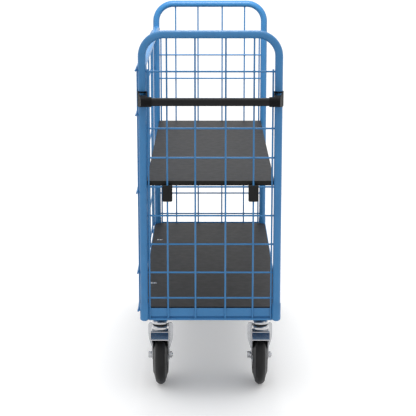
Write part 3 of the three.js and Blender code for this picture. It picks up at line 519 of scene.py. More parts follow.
def blended(finish, share, one, other):
    """A colour between two, one where the share is 0."""
    node = added(finish, "ShaderNodeMix")
    node.data_type = "RGBA"
    link(finish, share, node.inputs["Factor"])
    for socket, colour in (("A", one), ("B", other)):
        ends = [entry for entry in node.inputs if entry.name == socket and entry.type == "RGBA"]
        if isinstance(colour, tuple):
            ends[0].default_value = colour
        else:
            link(finish, colour, ends[0])
    return [entry for entry in node.outputs if entry.type == "RGBA"][0]


def paint(finish, shader, share, one, other):
    """Gives the surface a colour between two."""
    link(finish, blended(finish, share, one, other), shader.inputs["Base Color"])


def bumps(finish, shader, height, strength, depth):
    node = added(finish, "ShaderNodeBump")
    node.inputs["Strength"].default_value = strength
    node.inputs["Distance"].default_value = depth * MM
    link(finish, height, node.inputs["Height"])
    link(finish, node.outputs["Normal"], shader.inputs["Normal"])


def vary_gloss(finish, shader, pattern, low, high):
    """Lets the roughness wander between two values with a pattern."""
    link(finish, spread(finish, pattern, 0.3, 0.7, low, high), shader.inputs["Roughness"])


def make_blue_coat():
    """Powder coat: a slightly wavy skin over steel."""
    finish, shader = new_finish("blue_powder_coat", 0.34)
    where = coordinates(finish)
    shade = spread(finish, noise(finish, where, 22, 4, 0.6), 0.3, 0.7, 0, 1)
    paint(finish, shader, shade, linear(52, 122, 178), linear(58, 130, 187))
    vary_gloss(finish, shader, noise(finish, where, 60, 4), 0.3, 0.42)
    peel = noise(finish, where, 620, 2, 0.4)
    bumps(finish, shader, peel, 0.3, 0.12)
    return finish


def make_zinc(name, light, dark, roughness):
    """Electroplated zinc: grey metal with faint cloudy patches and fine rolling lines."""
    finish, shader = new_finish(name, roughness, 1.0)
    where = coordinates(finish)
    cloud = spread(finish, noise(finish, where, 90, 6, 0.65), 0.32, 0.68, 0, 1)
    paint(finish, shader, cloud, dark, light)
    vary_gloss(finish, shader, noise(finish, where, 240, 4), roughness - 0.04, roughness + 0.04)
    lines = noise(finish, coordinates(finish, (1, 1, 14)), 320, 3)
    bumps(finish, shader, lines, 0.1, 0.03)
    return finish


def make_rubber():
    finish, shader = new_finish("tyre_rubber_black", 0.42)
    shader.inputs["Specular IOR Level"].default_value = 0.24
    where = coordinates(finish)
    dust = spread(finish, noise(finish, where, 70, 6, 0.7), 0.35, 0.75, 0, 1)
    paint(finish, shader, dust, linear(24, 24, 25), linear(32, 32, 33))
    vary_gloss(finish, shader, noise(finish, where, 160, 4), 0.36, 0.5)
    skin = noise(finish, where, 900, 3)
    bumps(finish, shader, skin, 0.25, 0.1)
    return finish


def make_board_film(name, dark, light, shine):
    """Dark phenolic film on board, with a fine pressed grain."""
    finish, shader = new_finish(name, 0.5)
    shader.inputs["Specular IOR Level"].default_value = shine
    where = coordinates(finish)
    patch = noise(finish, where, 9, 5, 0.6)
    speck = noise(finish, where, 420, 4, 0.7)
    shade = spread(finish, speck, 0.25, 0.75, 0.25, 0.75)
    base = blended(finish, shade, dark, light)
    tone = spread(finish, patch, 0.3, 0.7, 0, 0.25)
    paint(finish, shader, tone, base, linear(45, 44, 43))
    vary_gloss(finish, shader, noise(finish, where, 45, 5), 0.48, 0.55)
    grain = noise(finish, where, 1500, 2)
    bumps(finish, shader, grain, 0.25, 0.08)
    return finish


def make_moulded(name, dark, light, roughness, grain_scale=1400, shine=0.2):
    """Moulded plastic with a spark-eroded grain."""
    finish, shader = new_finish(name, roughness)
    shader.inputs["Specular IOR Level"].default_value = shine
    where = coordinates(finish)
    tone = spread(finish, noise(finish, where, 40, 4), 0.3, 0.7, 0, 1)
    paint(finish, shader, tone, dark, light)
    grain = noise(finish, where, grain_scale, 3, 0.6)
    bumps(finish, shader, grain, 0.3, 0.08)
    vary_gloss(finish, shader, noise(finish, where, 300, 3), roughness - 0.06, roughness + 0.06)
    return finish


BLUE = make_blue_coat()
ZINC = make_zinc("bright_zinc", linear(204, 205, 207), linear(188, 189, 192), 0.23)
RIM_STEEL = make_zinc("rim_zinc", linear(190, 192, 196), linear(170, 172, 176), 0.26)
RUBBER = make_rubber()
DECK_FILM = make_board_film("deck_film", linear(47, 47, 48), linear(53, 53, 54), 0.16)
SHELF_FILM = make_board_film("shelf_film", linear(41, 41, 42), linear(47, 47, 48), 0.1)
EDGE_BAND = make_moulded("edge_band_black", linear(22, 21, 19), linear(28, 27, 24), 0.5)
PLASTIC = make_moulded("bracket_plastic_black", linear(17, 17, 18), linear(23, 23, 24), 0.6, 1400, 0.09)
NYLON = make_moulded("bush_nylon", linear(34, 35, 36), linear(44, 45, 46), 0.42)
BLACK_COAT = make_moulded("black_powder_coat", linear(17, 17, 18), linear(24, 24, 25), 0.5, 700)


# Hoops and the long side's top rail

def hoop(name, y):
    """A tube bent twice: up one post, across the top and down the other."""
    clear_selection()
    bpy.ops.mesh.primitive_circle_add(
        vertices=TUBE_SIDES, radius=TUBE_RADIUS * MM, location=spot(-POST_X, y, HOOP_FOOT))
    tube = settle(bpy.context.object)
    edit(tube, "EDGE")
    bpy.ops.mesh.select_all(action="SELECT")
    bend_z = HOOP_TOP - BEND_RADIUS
    bend_x = POST_X - BEND_RADIUS
    quarter = {"steps": BEND_STEPS, "angle": -math.pi / 2, "axis": (0, 1, 0)}
    push(0, 0, bend_z - HOOP_FOOT)
    bpy.ops.mesh.spin(center=spot(-bend_x, y, bend_z), **quarter)
    push(2 * bend_x, 0, 0)
    bpy.ops.mesh.spin(center=spot(bend_x, y, bend_z), **quarter)
    push(0, 0, HOOP_FOOT - bend_z)
    bpy.ops.mesh.select_all(action="SELECT")
    bpy.ops.mesh.fill_holes(sides=0)
    leave_edit()
    tube.name = name
    return smooth(outward(tube))


def weld(name, centre, along, reach, size):
    """A bead of weld: a ball drawn out along the joint and pressed flat."""
    clear_selection()
    bpy.ops.mesh.primitive_uv_sphere_add(
        segments=10, ring_count=6, radius=size * MM, location=spot(*centre))
    bead = bpy.context.object
    bead.name = name
    bead.scale = {"x": (reach, 0.8, 0.8), "y": (0.8, reach, 0.8), "z": (0.8, 0.8, reach)}[along]
    return settle(bead)


def side_top_rail():
    start, end = TUBE_RADIUS - 4, HOOP_SPACING - TUBE_RADIUS + 4
    rail = bar("side_rail_tube", (-POST_X, HOOP_SPACING / 2, SIDE_RAIL_HEIGHT), TUBE_RADIUS,
               end - start, "y", TUBE_SIDES)
    for y in (0, HOOP_SPACING):
        post = bar("post_shape", (-POST_X, y, SIDE_RAIL_HEIGHT), TUBE_RADIUS - 0.3, 60, "z", TUBE_SIDES)
        cut_away(rail, post)
    return smooth(rail)


def saddle_weld(name, y, outward_sign):
    """The ring of weld round a rail's end, laid on the post that it meets."""
    ring = []
    for step in range(SADDLE_WELD_BEADS):
        angle = 2 * math.pi * step / SADDLE_WELD_BEADS
        x = TUBE_RADIUS * math.cos(angle)
        z = TUBE_RADIUS * math.sin(angle)
        depth = math.sqrt(max(TUBE_RADIUS ** 2 - x ** 2, 0))
        centre = (-POST_X + x, y + outward_sign * (depth + 0.4), SIDE_RAIL_HEIGHT + z)
        ring.append(weld("weld_ball", centre, "z", 0.9, SADDLE_WELD))
    return joined(name, ring)


# Wire mesh

def wire(name, centre, length, along):
    return bar(name, centre, WIRE_RADIUS, length, along, WIRE_SIDES, WIRE_END_ROUND)


def upright(x, y, bottom, top):
    return wire("upright_wire", (x, y, (bottom + top) / 2), top - bottom, "z")


def end_mesh(name):
    """Upright wires in the plane of the hoop, level wires behind them, and a weld at each crossing."""
    foot = RAIL_BOTTOM + RAIL_LIP_HEIGHT + GAP
    head = HOOP_TOP - TUBE_RADIUS
    reach = POST_X - math.sqrt(TUBE_RADIUS ** 2 - WIRE_NEAR_SIDE ** 2)
    pieces = []
    for side in (-1, 1):
        for x in (MIDDLE_WIRE_X, HOOK_WIRE_X):
            pieces.append(upright(side * x, 0, foot, head))
            pieces.append(weld("weld_ball", (side * x, 0, head - 0.4), "z", 0.7, TUBE_WELD_RADIUS))
        pieces.append(upright(side * EDGE_WIRE_X, 0, foot, LEVEL_WIRES[-1] + 8))
    for height in LEVEL_WIRES:
        pieces.append(wire("level_wire", (0, WIRE_LAYER, height), 2 * reach, "x"))
        for side in (-1, 1):
            end = (side * (reach - 0.2), WIRE_LAYER, height)
            pieces.append(weld("weld_ball", end, "x", 0.8, TUBE_WELD_RADIUS))
            for x in (MIDDLE_WIRE_X, HOOK_WIRE_X, EDGE_WIRE_X):
                crossing = (side * x, WIRE_LAYER / 2, height)
                pieces.append(weld("weld_ball", crossing, "y", 0.55, WELD_RADIUS))
    return smooth(joined(name, pieces), 40)


def side_mesh():
    """Long wires outside, upright wires inside, welded to the top rail and the side rail."""
    outer_x = WALL_LAYER_X - WIRE_LAYER
    length = HOOP_SPACING + 2 * WALL_OVERHANG
    pieces = []
    for height in WALL_WIRES:
        pieces.append(wire("long_wire", (outer_x, HOOP_SPACING / 2, height), length, "y"))
    for y in WALL_UPRIGHTS:
        pieces.append(upright(WALL_LAYER_X, y, WALL_FOOT, WALL_HEAD))
        for height in WALL_WIRES:
            crossing = ((WALL_LAYER_X + outer_x) / 2, y, height)
            pieces.append(weld("weld_ball", crossing, "x", 0.55, WELD_RADIUS))
        for height, reach, size in ((WALL_HEAD - 3, 1.3, 2.4), (WALL_FOOT + 5, 1.2, 2.2)):
            for step in (-2.2, 2.2):
                pieces.append(weld("weld_ball", (WALL_WELD_X, y + step, height), "z", reach, size))
    return smooth(joined("side_wire_mesh", pieces), 40)


# Base frame

def end_rail():
    """A folded rail: a web, a ledge for the deck, a foot turned in and a crease over a turned-out lip."""
    face = RAIL_FACE
    inner = face + RAIL_WALL
    crease = face + RAIL_CREASE
    lip = RAIL_BOTTOM + RAIL_LIP_HEIGHT
    outline = [
        (face - RAIL_LIP, RAIL_BOTTOM), (inner + RAIL_FOOT, RAIL_BOTTOM),
        (inner + RAIL_FOOT, RAIL_BOTTOM + RAIL_WALL), (crease + RAIL_WALL, RAIL_BOTTOM + RAIL_WALL),
        (crease + RAIL_WALL, lip + 9), (inner, lip + 12), (inner, LEDGE_TOP - RAIL_WALL),
        (inner + RAIL_LEDGE, LEDGE_TOP - RAIL_WALL), (inner + RAIL_LEDGE, LEDGE_TOP), (inner, LEDGE_TOP),
        (inner, RAIL_TOP), (face, RAIL_TOP), (face, lip + 6), (crease, lip + 5), (crease, lip),
        (face - RAIL_LIP, lip),
    ]
    rail = plate("end_rail", [(-RAIL_REACH, y, z) for y, z in outline], (2 * RAIL_REACH, 0, 0))
    return smooth(round_edges(rail, 1.1, 3))


def side_rail():
    """The +x rail: an upright web between the sockets with a ledge for the deck."""
    outer = FRAME_WIDTH / 2
    outline = [
        (outer - RAIL_WALL, RAIL_BOTTOM), (outer, RAIL_BOTTOM), (outer, RAIL_TOP),
        (outer - RAIL_WALL, RAIL_TOP),
    ]
    start, end = SIDE_RAIL_START, HOOP_SPACING - SIDE_RAIL_START
    web = plate("side_rail", [(x, start, z) for x, z in outline], (0, end - start, 0))
    round_edges(web, 1.1, 3)
    inner = outer - RAIL_WALL - RAIL_LEDGE
    ledge = slab("side_ledge", (inner, SIDE_LEDGE_START, LEDGE_TOP - RAIL_WALL),
                 (outer - RAIL_WALL / 2, HOOP_SPACING - SIDE_LEDGE_START, LEDGE_TOP))
    round_edges(ledge, 0.7)
    return smooth(joined("side_rail", [web, ledge]))


def castor_beam(name, y):
    """A channel, open upwards, over two castors."""
    bottom, top, floor_top = BEAM_BOTTOM, BEAM_TOP, BEAM_BOTTOM + BEAM_FLOOR
    half, inside = BEAM_HALF, BEAM_HALF - BEAM_WALL
    outline = [
        (y - half, bottom), (y + half, bottom), (y + half, top), (y + inside, top),
        (y + inside, floor_top), (y - inside, floor_top), (y - inside, top), (y - half, top),
    ]
    reach = FRAME_WIDTH / 2 - RAIL_WALL - GAP
    beam = plate(name, [(-reach, across, z) for across, z in outline], (2 * reach, 0, 0))
    for x in (-CASTOR_X, CASTOR_X):
        cut_away(beam, bar("hole_shape", (x, y, bottom + BEAM_FLOOR / 2), PIN_HOLE, 20, "z", 32))
    return smooth(round_edges(beam, 1.3, 3))


def corner_socket():
    """The cup that the front left post stands in, with a chamfered foot and a rounded mouth."""
    stations = [
        (RAIL_BOTTOM, SOCKET_RADIUS - 4.6), (RAIL_BOTTOM + 0.2, SOCKET_RADIUS - 4),
        (RAIL_BOTTOM + 3.6, SOCKET_RADIUS - 0.4), (RAIL_BOTTOM + 4.6, SOCKET_RADIUS),
        (SOCKET_TOP - 0.7, SOCKET_RADIUS), (SOCKET_TOP - 0.2, SOCKET_RADIUS - 0.2),
        (SOCKET_TOP, SOCKET_RADIUS - 0.6), (SOCKET_TOP - 0.2, SOCKET_RADIUS - 1.1),
        (SOCKET_TOP - 0.8, SOCKET_BORE), (RAIL_BOTTOM + 3, SOCKET_BORE),
    ]
    return smooth(lathed("corner_socket", (-POST_X, 0, 0), stations, "z", 48))


# Boards

def bottom_deck():
    end = HOOP_SPACING - DECK_START
    deck = slab("bottom_deck_board", (-DECK_X, DECK_START, DECK_BOTTOM), (DECK_X, end, DECK_TOP))
    round_corners(deck, DECK_CORNER, 10)
    across, along = FIXING_HALF_WIDTH + 0.5, FIXING_HALF_LENGTH + 0.5
    for y in FIXING_PLACES:
        low = (FIXING_X - across, y - along, FIXING_SEAT - 0.2)
        pocket = slab("pocket_shape", low, (FIXING_X + across, y + along, DECK_TOP + 4))
        round_corners(pocket, 3.2)
        cut_away(deck, pocket)
    return smooth(round_edges(deck, 0.6, 2, 50))


def deck_fixing(name, y):
    """A small rounded plate with two domed screws."""
    bottom, across, along = FIXING_SEAT, FIXING_HALF_WIDTH, FIXING_HALF_LENGTH
    fixing = slab(name, (FIXING_X - across, y - along, bottom),
                  (FIXING_X + across, y + along, bottom + FIXING_THICKNESS))
    round_corners(fixing, 3)
    round_edges(fixing, 0.4)
    dome = [(1, 3.7), (2.1, 3.7), (2.9, 3.4), (3.6, 2.7), (4.05, 1.6), (4.2, 0.6)]
    slot_bottom, slot_top = bottom + 3.3, bottom + 6
    screws = []
    for x in (FIXING_X - FIXING_SCREW, FIXING_X + FIXING_SCREW):
        screw = lathed("screw", (x, y, bottom), dome, "z", 28)
        slot = slab("slot_shape", (x - 0.5, y - 2.4, slot_bottom), (x + 0.5, y + 2.4, slot_top))
        cross = slab("slot_shape", (x - 2.4, y - 0.5, slot_bottom), (x + 2.4, y + 0.5, slot_top))
        screws.append(cut_away(screw, slot, cross))
    return smooth(joined(name, [fixing, *screws]))


def cut_hook_pockets(piece, reach):
    """Cuts the four pockets for the hooks into the shelf's underside."""
    half = HOOK_WIDTH / 2 + GAP
    for x in (-HOOK_WIRE_X, HOOK_WIRE_X):
        for start, stop in ((0, reach), (HOOP_SPACING - reach, HOOP_SPACING)):
            low, high = (x - half, start, SHELF_BOTTOM - 4), (x + half, stop, POCKET_TOP)
            cut_away(piece, slab("pocket_shape", low, high))


def shelf_board():
    """The board itself, with a pocket under it for each hook."""
    end = HOOP_SPACING - SHELF_START
    board = slab("shelf_board_core", (BAND - SHELF_X, SHELF_START + BAND, SHELF_BOTTOM),
                 (SHELF_X - BAND, end - BAND, SHELF_TOP))
    cut_hook_pockets(board, HOOK_REACH + GAP)
    return smooth(round_edges(board, 0.35, 2, 50))


def shelf_band():
    """The black band glued round the shelf's edge."""
    end = HOOP_SPACING - SHELF_START
    band = slab("shelf_edge_band", (-SHELF_X, SHELF_START, SHELF_BOTTOM + 0.1),
                (SHELF_X, end, SHELF_TOP - 0.1))
    round_corners(band, 2.2)
    inside = slab("inside_shape", (BAND - SHELF_X, SHELF_START + BAND, SHELF_BOTTOM - 4),
                  (SHELF_X - BAND, end - BAND, SHELF_TOP + 4))
    cut_away(band, inside)
    cut_hook_pockets(band, 40)
    return smooth(round_edges(band, 0.3, 2, 50))


def shelf_hook():
    """The front left hook, bent from plate: it grips a level wire astride an upright one."""
    bottom, top = SHELF_BOTTOM, SHELF_BOTTOM + HOOK_THICKNESS
    inner, outer = -HOOK_CLEARANCE, -HOOK_CLEARANCE - HOOK_THICKNESS
    tip = top - HOOK_DROP
    outline = [
        (outer, tip), (inner, tip), (inner, bottom - 0.6), (inner + 0.2, bottom - 0.15),
        (inner + 0.6, bottom), (HOOK_REACH, bottom), (HOOK_REACH, top),
        *arc(outer + 2.9, top - 2.9, 2.9, 90, 180, 6),
    ]
    x = -HOOK_WIRE_X - HOOK_WIDTH / 2
    hook = plate("shelf_hook", [(x, y, z) for y, z in outline], (HOOK_WIDTH, 0, 0))
    edit(hook)
    pick_edges(hook, lambda a, b: max(a.z, b.z) < tip + 1 and abs(a.y - b.y) > 1)
    bpy.ops.mesh.bevel(offset=5 * MM, segments=5, affect="EDGES")
    leave_edit()
    middle = -HOOK_WIRE_X
    slot = slab("slot_shape", (middle - HOOK_SLOT_WIDTH / 2, inner, bottom - 4),
                (middle + HOOK_SLOT_WIDTH / 2, 7.7, top + 4))
    cut_away(hook, slot)
    round_edges(hook, 0.35, 2, 40)
    head = [(-0.4, 1.5), (-0.4, 3.2), (0.1, 3.7), (0.6, 3.7)]
    screws = [lathed("screw", (middle, y, bottom), head, "z", 24) for y in HOOK_SCREWS]
    return smooth(joined("shelf_hook", [hook, *screws]))


# Push handle

def handle_bar():
    middle = (0, -HANDLE_REACH, HANDLE_HEIGHT)
    return smooth(bar("handle_tube", middle, TUBE_RADIUS, 2 * HANDLE_END, "x", 56, 0.8))


def handle_bracket():
    """The +x bracket, moulded: a collar on the post, an open-topped arm and a sleeve on the bar."""
    z = HANDLE_HEIGHT
    collar = TUBE_RADIUS + GAP + BRACKET_WALL
    nose = HANDLE_REACH + BRACKET_NOSE
    bar_end = HANDLE_END
    side = [(0, z - BRACKET_HALF), (0, z + BRACKET_HALF), (-collar, z + BRACKET_HALF)]
    side += arc(-HANDLE_REACH, z, BRACKET_NOSE, 90, 270, 20)
    side += [(-collar, z - BRACKET_HALF)]
    arm = plate("arm", [(POST_X - 60, y, up) for y, up in side], (100, 0, 0))
    inner_end, outer_end = bar_end - BRACKET_SLEEVE / 2, bar_end + BRACKET_WALL
    plan = [(POST_X - collar, 0), (inner_end, -nose), (outer_end, -nose), (POST_X + collar, 0)]
    kept_inside(arm, plate("plan_shape", [(x, y, z - 40) for x, y in plan], (0, 0, 80)))
    ring = bar("collar", (POST_X, 0, z), collar, 2 * BRACKET_HALF, "z", 48)
    sleeve = bar("sleeve", (inner_end, -HANDLE_REACH, z), BRACKET_NOSE, BRACKET_SLEEVE, "x", 48)
    fused(arm, ring, sleeve)

    def inner_wall(reach):
        return POST_X - collar + (inner_end - POST_X + collar) * reach / nose + BRACKET_WALL

    def outer_wall(reach):
        return POST_X + collar + (outer_end - POST_X - collar) * reach / nose - BRACKET_WALL

    rear, front = collar, HANDLE_REACH - BRACKET_NOSE - BRACKET_WEB
    pocket = [(inner_wall(rear), -rear), (inner_wall(front), -front), (outer_wall(front), -front),
              (outer_wall(rear), -rear)]
    pocket_floor, bore = z - BRACKET_HALF + BRACKET_WEB, TUBE_RADIUS + GAP
    cut_away(
        arm,
        plate("pocket_shape", [(x, y, pocket_floor) for x, y in pocket], (0, 0, 60)),
        bar("post_shape", (POST_X, 0, z), TUBE_RADIUS + 0.2, 80, "z", 48),
        bar("bar_shape", (bar_end - 19.85, -HANDLE_REACH, z), TUBE_RADIUS + 0.2, 40, "x", 48),
        slab("notch_shape", (100, -4, z - 40), (POST_X - 7, collar + 4, z + 40)),
        slab("window_shape", (POST_X - bore, -collar - 3, pocket_floor),
             (POST_X + bore, -3, z + BRACKET_HALF - BRACKET_RIM)),
    )
    modify(arm, "REMESH", mode="VOXEL", voxel_size=0.75 * MM, adaptivity=0.0)
    modify(arm, "SMOOTH", factor=0.5, iterations=5)
    modify(arm, "DECIMATE", decimate_type="COLLAPSE", ratio=0.35)
    return smooth(arm, 60)


# Wheels

def tyre(name, x, y):
    """A solid rubber tyre: a bead at the rim, flanks that lean in to the shoulders and a round tread."""
    flank = [
        (-22, 56), (-24.2, 56.7), (-25, 58), (-25, 60.4), (-24.5, 62), (-23.4, 63.2), (-22.9, 64.6),
        (-17, 84.6), (-16.4, 86.4), (-16.1, 88), (-16, 89.6), (-15.8, 90.3), (-15.2, 91), (-14, 92.3),
        (-12.2, 94.2), (-9.6, 96.7), (-6.4, 98.7), (-3.2, 99.7),
    ]
    profile = flank + [(0, 100)] + [(-place, radius) for place, radius in reversed(flank)]
    return smooth(lathed(name, (x, y, WHEEL_RADIUS), profile, "x", 96, ring=True), 50)


def rim(name, x, y):
    """A pressed steel rim on a turned hub, with a ring of rivets in its dish."""
    flank = [
        (-21.6, 55.8), (-22.4, 55.4), (-22.6, 54.4), (-21.8, 53.2), (-16, 51.8), (-10.5, 50.2),
        (-7.6, 48.4), (-6.4, 46.6), (-6, 45), (-6, 37.6), (-6.6, 36), (-8.6, 34), (-12, 32), (-16, 30),
        (-19.6, 27.6), (-22.6, 25.2), (-24.4, 24.2), (-25, 23.4), (-25, 16.4), (-24.4, 15.3),
    ]
    profile = flank + [(-place, radius) for place, radius in reversed(flank)]
    piece = lathed(name, (x, y, WHEEL_RADIUS), profile, "x", 96, ring=True)
    dome = [(-7.7, 1), (-7.4, 2.2), (-6.8, 3), (-5.8, 3.3), (5.8, 3.3), (6.8, 3), (7.4, 2.2), (7.7, 1)]
    rivets = []
    for step in range(RIVETS):
        angle = 2 * math.pi * (step + 0.5) / RIVETS
        across, up = RIVET_CIRCLE * math.cos(angle), RIVET_CIRCLE * math.sin(angle)
        rivets.append(lathed("rivet", (x, y + across, WHEEL_RADIUS + up), dome, "x", 20))
    return smooth(joined(name, [piece, *rivets]), 40)


def bush(name, x, y):
    profile = [
        (-24.6, 6.6), (-25, 7.2), (-25, 14.2), (-24.6, 14.8),
        (24.6, 14.8), (25, 14.2), (25, 7.2), (24.6, 6.6),
    ]
    return smooth(lathed(name, (x, y, WHEEL_RADIUS), profile, "x", 40, ring=True), 40)


def hexagon(name, centre, corner_radius, height, along):
    """A six-sided head or nut with its corners turned off at both faces."""
    head = bar(name, centre, corner_radius, height, along, 6)
    flat = corner_radius * math.cos(math.pi / 6)
    half = height / 2
    stations = [
        (-half, flat - 0.3), (-half + 1.2, corner_radius + 0.4), (half - 1.2, corner_radius + 0.4),
        (half, flat - 0.3),
    ]
    return kept_inside(head, lathed("cone_shape", centre, stations, along, 48))


def axle_bolt(name, x, y):
    face, z = AXLE_SEAT, WHEEL_RADIUS
    back = -face - WASHER_THICKNESS
    stations = [
        (back, 6.2), (back, 11.6), (back + 0.3, 12), (-face - 0.1, 12), (-face, 11.6), (-face, 6.2),
    ]
    washer = lathed("washer", (x, y, z), stations, "x", 40, ring=True)
    head = hexagon("head", (x + back - 0.1 - BOLT_HEAD / 2, y, z), BOLT_CORNER, BOLT_HEAD, "x")
    start, end = -face - 6, face + NUT_HEIGHT + 3
    shank = bar("shank", (x + (start + end) / 2, y, z), AXLE_RADIUS, end - start, "x", 32, 0.8)
    return smooth(joined(name, [head, washer, shank]), 30)


def axle_nut(name, x, y):
    middle = (x + AXLE_SEAT + NUT_HEIGHT / 2, y, WHEEL_RADIUS)
    nut = hexagon("nut", middle, BOLT_CORNER, NUT_HEIGHT, "x")
    cut_away(nut, bar("thread_shape", middle, AXLE_RADIUS + 0.2, 20, "x", 32))
    nut.name = name
    return smooth(nut, 30)


# Castors

def pressed_hood(name, x, front, rear, top):
    """A box open behind and below, with its corners drawn round and the sheet's thickness inwards."""
    hood = slab(name, (x - FORK_HALF, front, 70), (x + FORK_HALF, rear, top))
    edit(hood)
    pick_faces(hood, lambda centre, normal: normal.z < -0.9 or normal.y > 0.9)
    bpy.ops.mesh.delete(type="FACE")
    pick_edges(hood, lambda a, b: (
        max(abs(a.z - top), abs(b.z - top)) < 1 and min(a.y, b.y) < front + 1
        or max(abs(a.y - front), abs(b.y - front)) < 1))
    mesh = bmesh.from_edit_mesh(hood.data)
    for edge in mesh.edges:
        if edge.is_boundary:
            edge.select_set(False)
    bmesh.update_edit_mesh(hood.data)
    bpy.ops.mesh.bevel(offset=CROWN_ROUND * MM, segments=6, affect="EDGES", profile=0.5)
    leave_edit()
    return modify(hood, "SOLIDIFY", thickness=FORK_SHEET * MM, offset=-1)


def side_shape(x, outline):
    reach = FORK_HALF + 6
    return plate("side_shape", [(x - reach, y, z) for y, z in outline], (2 * reach, 0, 0))


def axle_boss(x, y, side):
    """The pressed ring round the axle on the outside of a leg."""
    stations = [(-1.6, 16.2), (0.1, 15.6), (0.8, 14.6), (1, 13.6), (1, 8)]
    stations = [(side * (FORK_HALF + place), radius) for place, radius in stations]
    return lathed("boss", (x, y, WHEEL_RADIUS), stations, "x", 40)


def swivel_fork(name, x, y):
    """The pressed fork: a hood over the wheel, an apron, a flange on each leg and the race's cup."""
    front, rear, top = y - CROWN_FRONT, y + CASTOR_TRAIL + FORK_EAR, CROWN_TOP
    axle = y + CASTOR_TRAIL
    hood = pressed_hood(name, x, front, rear + 4, top)
    edge = front - APRON_FLARE
    leg = [(front + 5, top + 4), (front + 5, top - 0.4), (front + 1, top - 0.4), (front + 1, top - 5)]
    leg += arc(axle, WHEEL_RADIUS, FORK_EAR, -150, 4, 18)
    leg += [(y + CROWN_REAR, top), (y + CROWN_REAR, top + 4)]
    kept_inside(hood, side_shape(x, leg))
    lip = APRON_BOTTOM + 2
    skirt = [
        (front + 6, top + 0.1), (front + 0.9, top + 0.05), (front + 0.25, top - 0.3), (front, top - 0.9),
        (front, top - 1.7), (front - 0.8, top - 2.9), (edge + 0.8, lip + 0.9), (edge + 0.1, lip),
        (edge, lip - 0.7), (edge, APRON_BOTTOM + 0.5), (edge + 0.4, APRON_BOTTOM),
        (edge + 2.4, APRON_BOTTOM), (edge + 3, lip - 0.7), (front + 2.6, top - 6),
        (front + 3.6, top - 4), (front + 6, top - 3.2),
    ]
    flare = plate("flare", [(x - FORK_HALF, a, b) for a, b in skirt], (2 * FORK_HALF, 0, 0))
    cheek = [(front + 8, top - 0.4), (front + 1.4, top - 0.5), (front + 0.5, top - 1.8),
             (edge + 1.4, lip + 0.4), (edge + 0.5, APRON_BOTTOM + 0.6), (edge + 2, APRON_BOTTOM - 1.6),
             (front + 20, APRON_BOTTOM - 24), (front + 30, top - 4)]

    def cheek_plate(side):
        inner = x + side * (FORK_HALF - FORK_SHEET)
        return plate("cheek", [(inner, a, b) for a, b in cheek], (side * FORK_SHEET, 0, 0))

    lean = (rear - y - CROWN_REAR) / (top - WHEEL_RADIUS)

    def flange(side):
        outline = [
            (-3.2, FLANGE_TOP), (-3.2, 117), (0, 117), (2.8, 126), (7.4, 140), (10.8, 153), (12.4, 164),
            (13, 174), (13, 206), (12.4, 209.4), (10.8, 212), (8.4, 213.4), (6, FLANGE_TOP),
        ]
        points = [(x + side * (FORK_HALF + a), y + CROWN_REAR + lean * (top - b), b) for a, b in outline]
        return plate("flange", points, (0, -FORK_SHEET, 0))

    cup = lathed("cup", (x, y, 0), [
        (top - 2, 28.8), (top, 28.8), (top + 0.5, 28.3), (top + 2, 28), (216.2, 27.6), (218.6, 26.8),
        (220.6, 25.7), (222.2, 24.2), (223.2, 22.6), (223.6, 21), (CUP_TOP, 20.6)], "z", 64)
    fused(hood, flare, cheek_plate(-1), cheek_plate(1), flange(-1), flange(1), cup,
          axle_boss(x, axle, -1), axle_boss(x, axle, 1))
    cut_away(
        hood,
        bar("axle_shape", (x, axle, WHEEL_RADIUS), AXLE_HOLE, 90, "x", 32),
        bar("pin_shape", (x, y, top + 6), PIN_HOLE + 0.1, 40, "z", 32),
    )
    return smooth(round_edges(hood, 0.4, 2, 40), 40)


def fixed_fork(name, x, y):
    """The plain fork of a rear castor, bolted straight to its beam."""
    front, rear, top = y - FIXED_CROWN, y + FIXED_CROWN, CASTOR_TOP
    hood = pressed_hood(name, x, front, rear + 4, top)
    shoulder = FIXED_SHOULDER
    leg = [(front - 4, top + 4), (front - 4, shoulder), (front, shoulder)]
    leg += arc(y, WHEEL_RADIUS, FORK_EAR, -165, -15, 18)
    leg += [(rear, shoulder), (rear, top + 4)]
    kept_inside(hood, side_shape(x, leg))
    fused(hood, axle_boss(x, y, -1), axle_boss(x, y, 1))
    cut_away(hood, bar("axle_shape", (x, y, WHEEL_RADIUS), AXLE_HOLE, 90, "x", 32))
    return smooth(round_edges(hood, 0.4, 2, 40), 40)


def swivel_head(name, x, y):
    """The upper race: a dome, widest at its rim and narrowing to the beam."""
    dome = [
        (0, 25.4), (0.3, 26.6), (1, 27.3), (2, 27.5), (3.4, 27.4), (5.6, 26.9), (8, 26), (10.4, 24.8),
        (12.4, 23.4), (14, 22),
    ]
    stations = [(RACE_BOTTOM + rise, radius) for rise, radius in dome]
    stations += [(CASTOR_TOP - 1.4, 21.2), (CASTOR_TOP, 21)]
    return smooth(lathed(name, (x, y, 0), stations, "z", 64), 50)


def race_shade_ring(name, x, y):
    """A dark ring in the gap between the cup and the head: it stands in for the shade in that gap, as
    painted shade made solid.
    """
    bottom, top = CUP_TOP - 5.1, RACE_BOTTOM - 0.2
    edge, groove = SHADE_RING_RADIUS - 0.5, SHADE_RING_RADIUS - 0.8
    stations = [
        (bottom, SHADE_RING_BORE), (bottom, edge), (bottom + 0.5, SHADE_RING_RADIUS), (bottom + 2.2, SHADE_RING_RADIUS),
        (bottom + 2.7, groove), (bottom + 3.2, groove), (bottom + 3.7, SHADE_RING_RADIUS),
        (top - 0.5, SHADE_RING_RADIUS), (top, edge), (top, SHADE_RING_BORE),
    ]
    return smooth(lathed(name, (x, y, 0), stations, "z", 64, ring=True), 40)


# The trolley's pieces

def on_frame(piece, *nodes):
    """Dresses a blue piece of the frame."""
    dressed(piece, BLUE, "frame", "blue_coat", *nodes)


on_frame(hoop("front_hoop_tube", 0), "front_hoop")
on_frame(hoop("rear_hoop_tube", HOOP_SPACING), "rear_hoop")

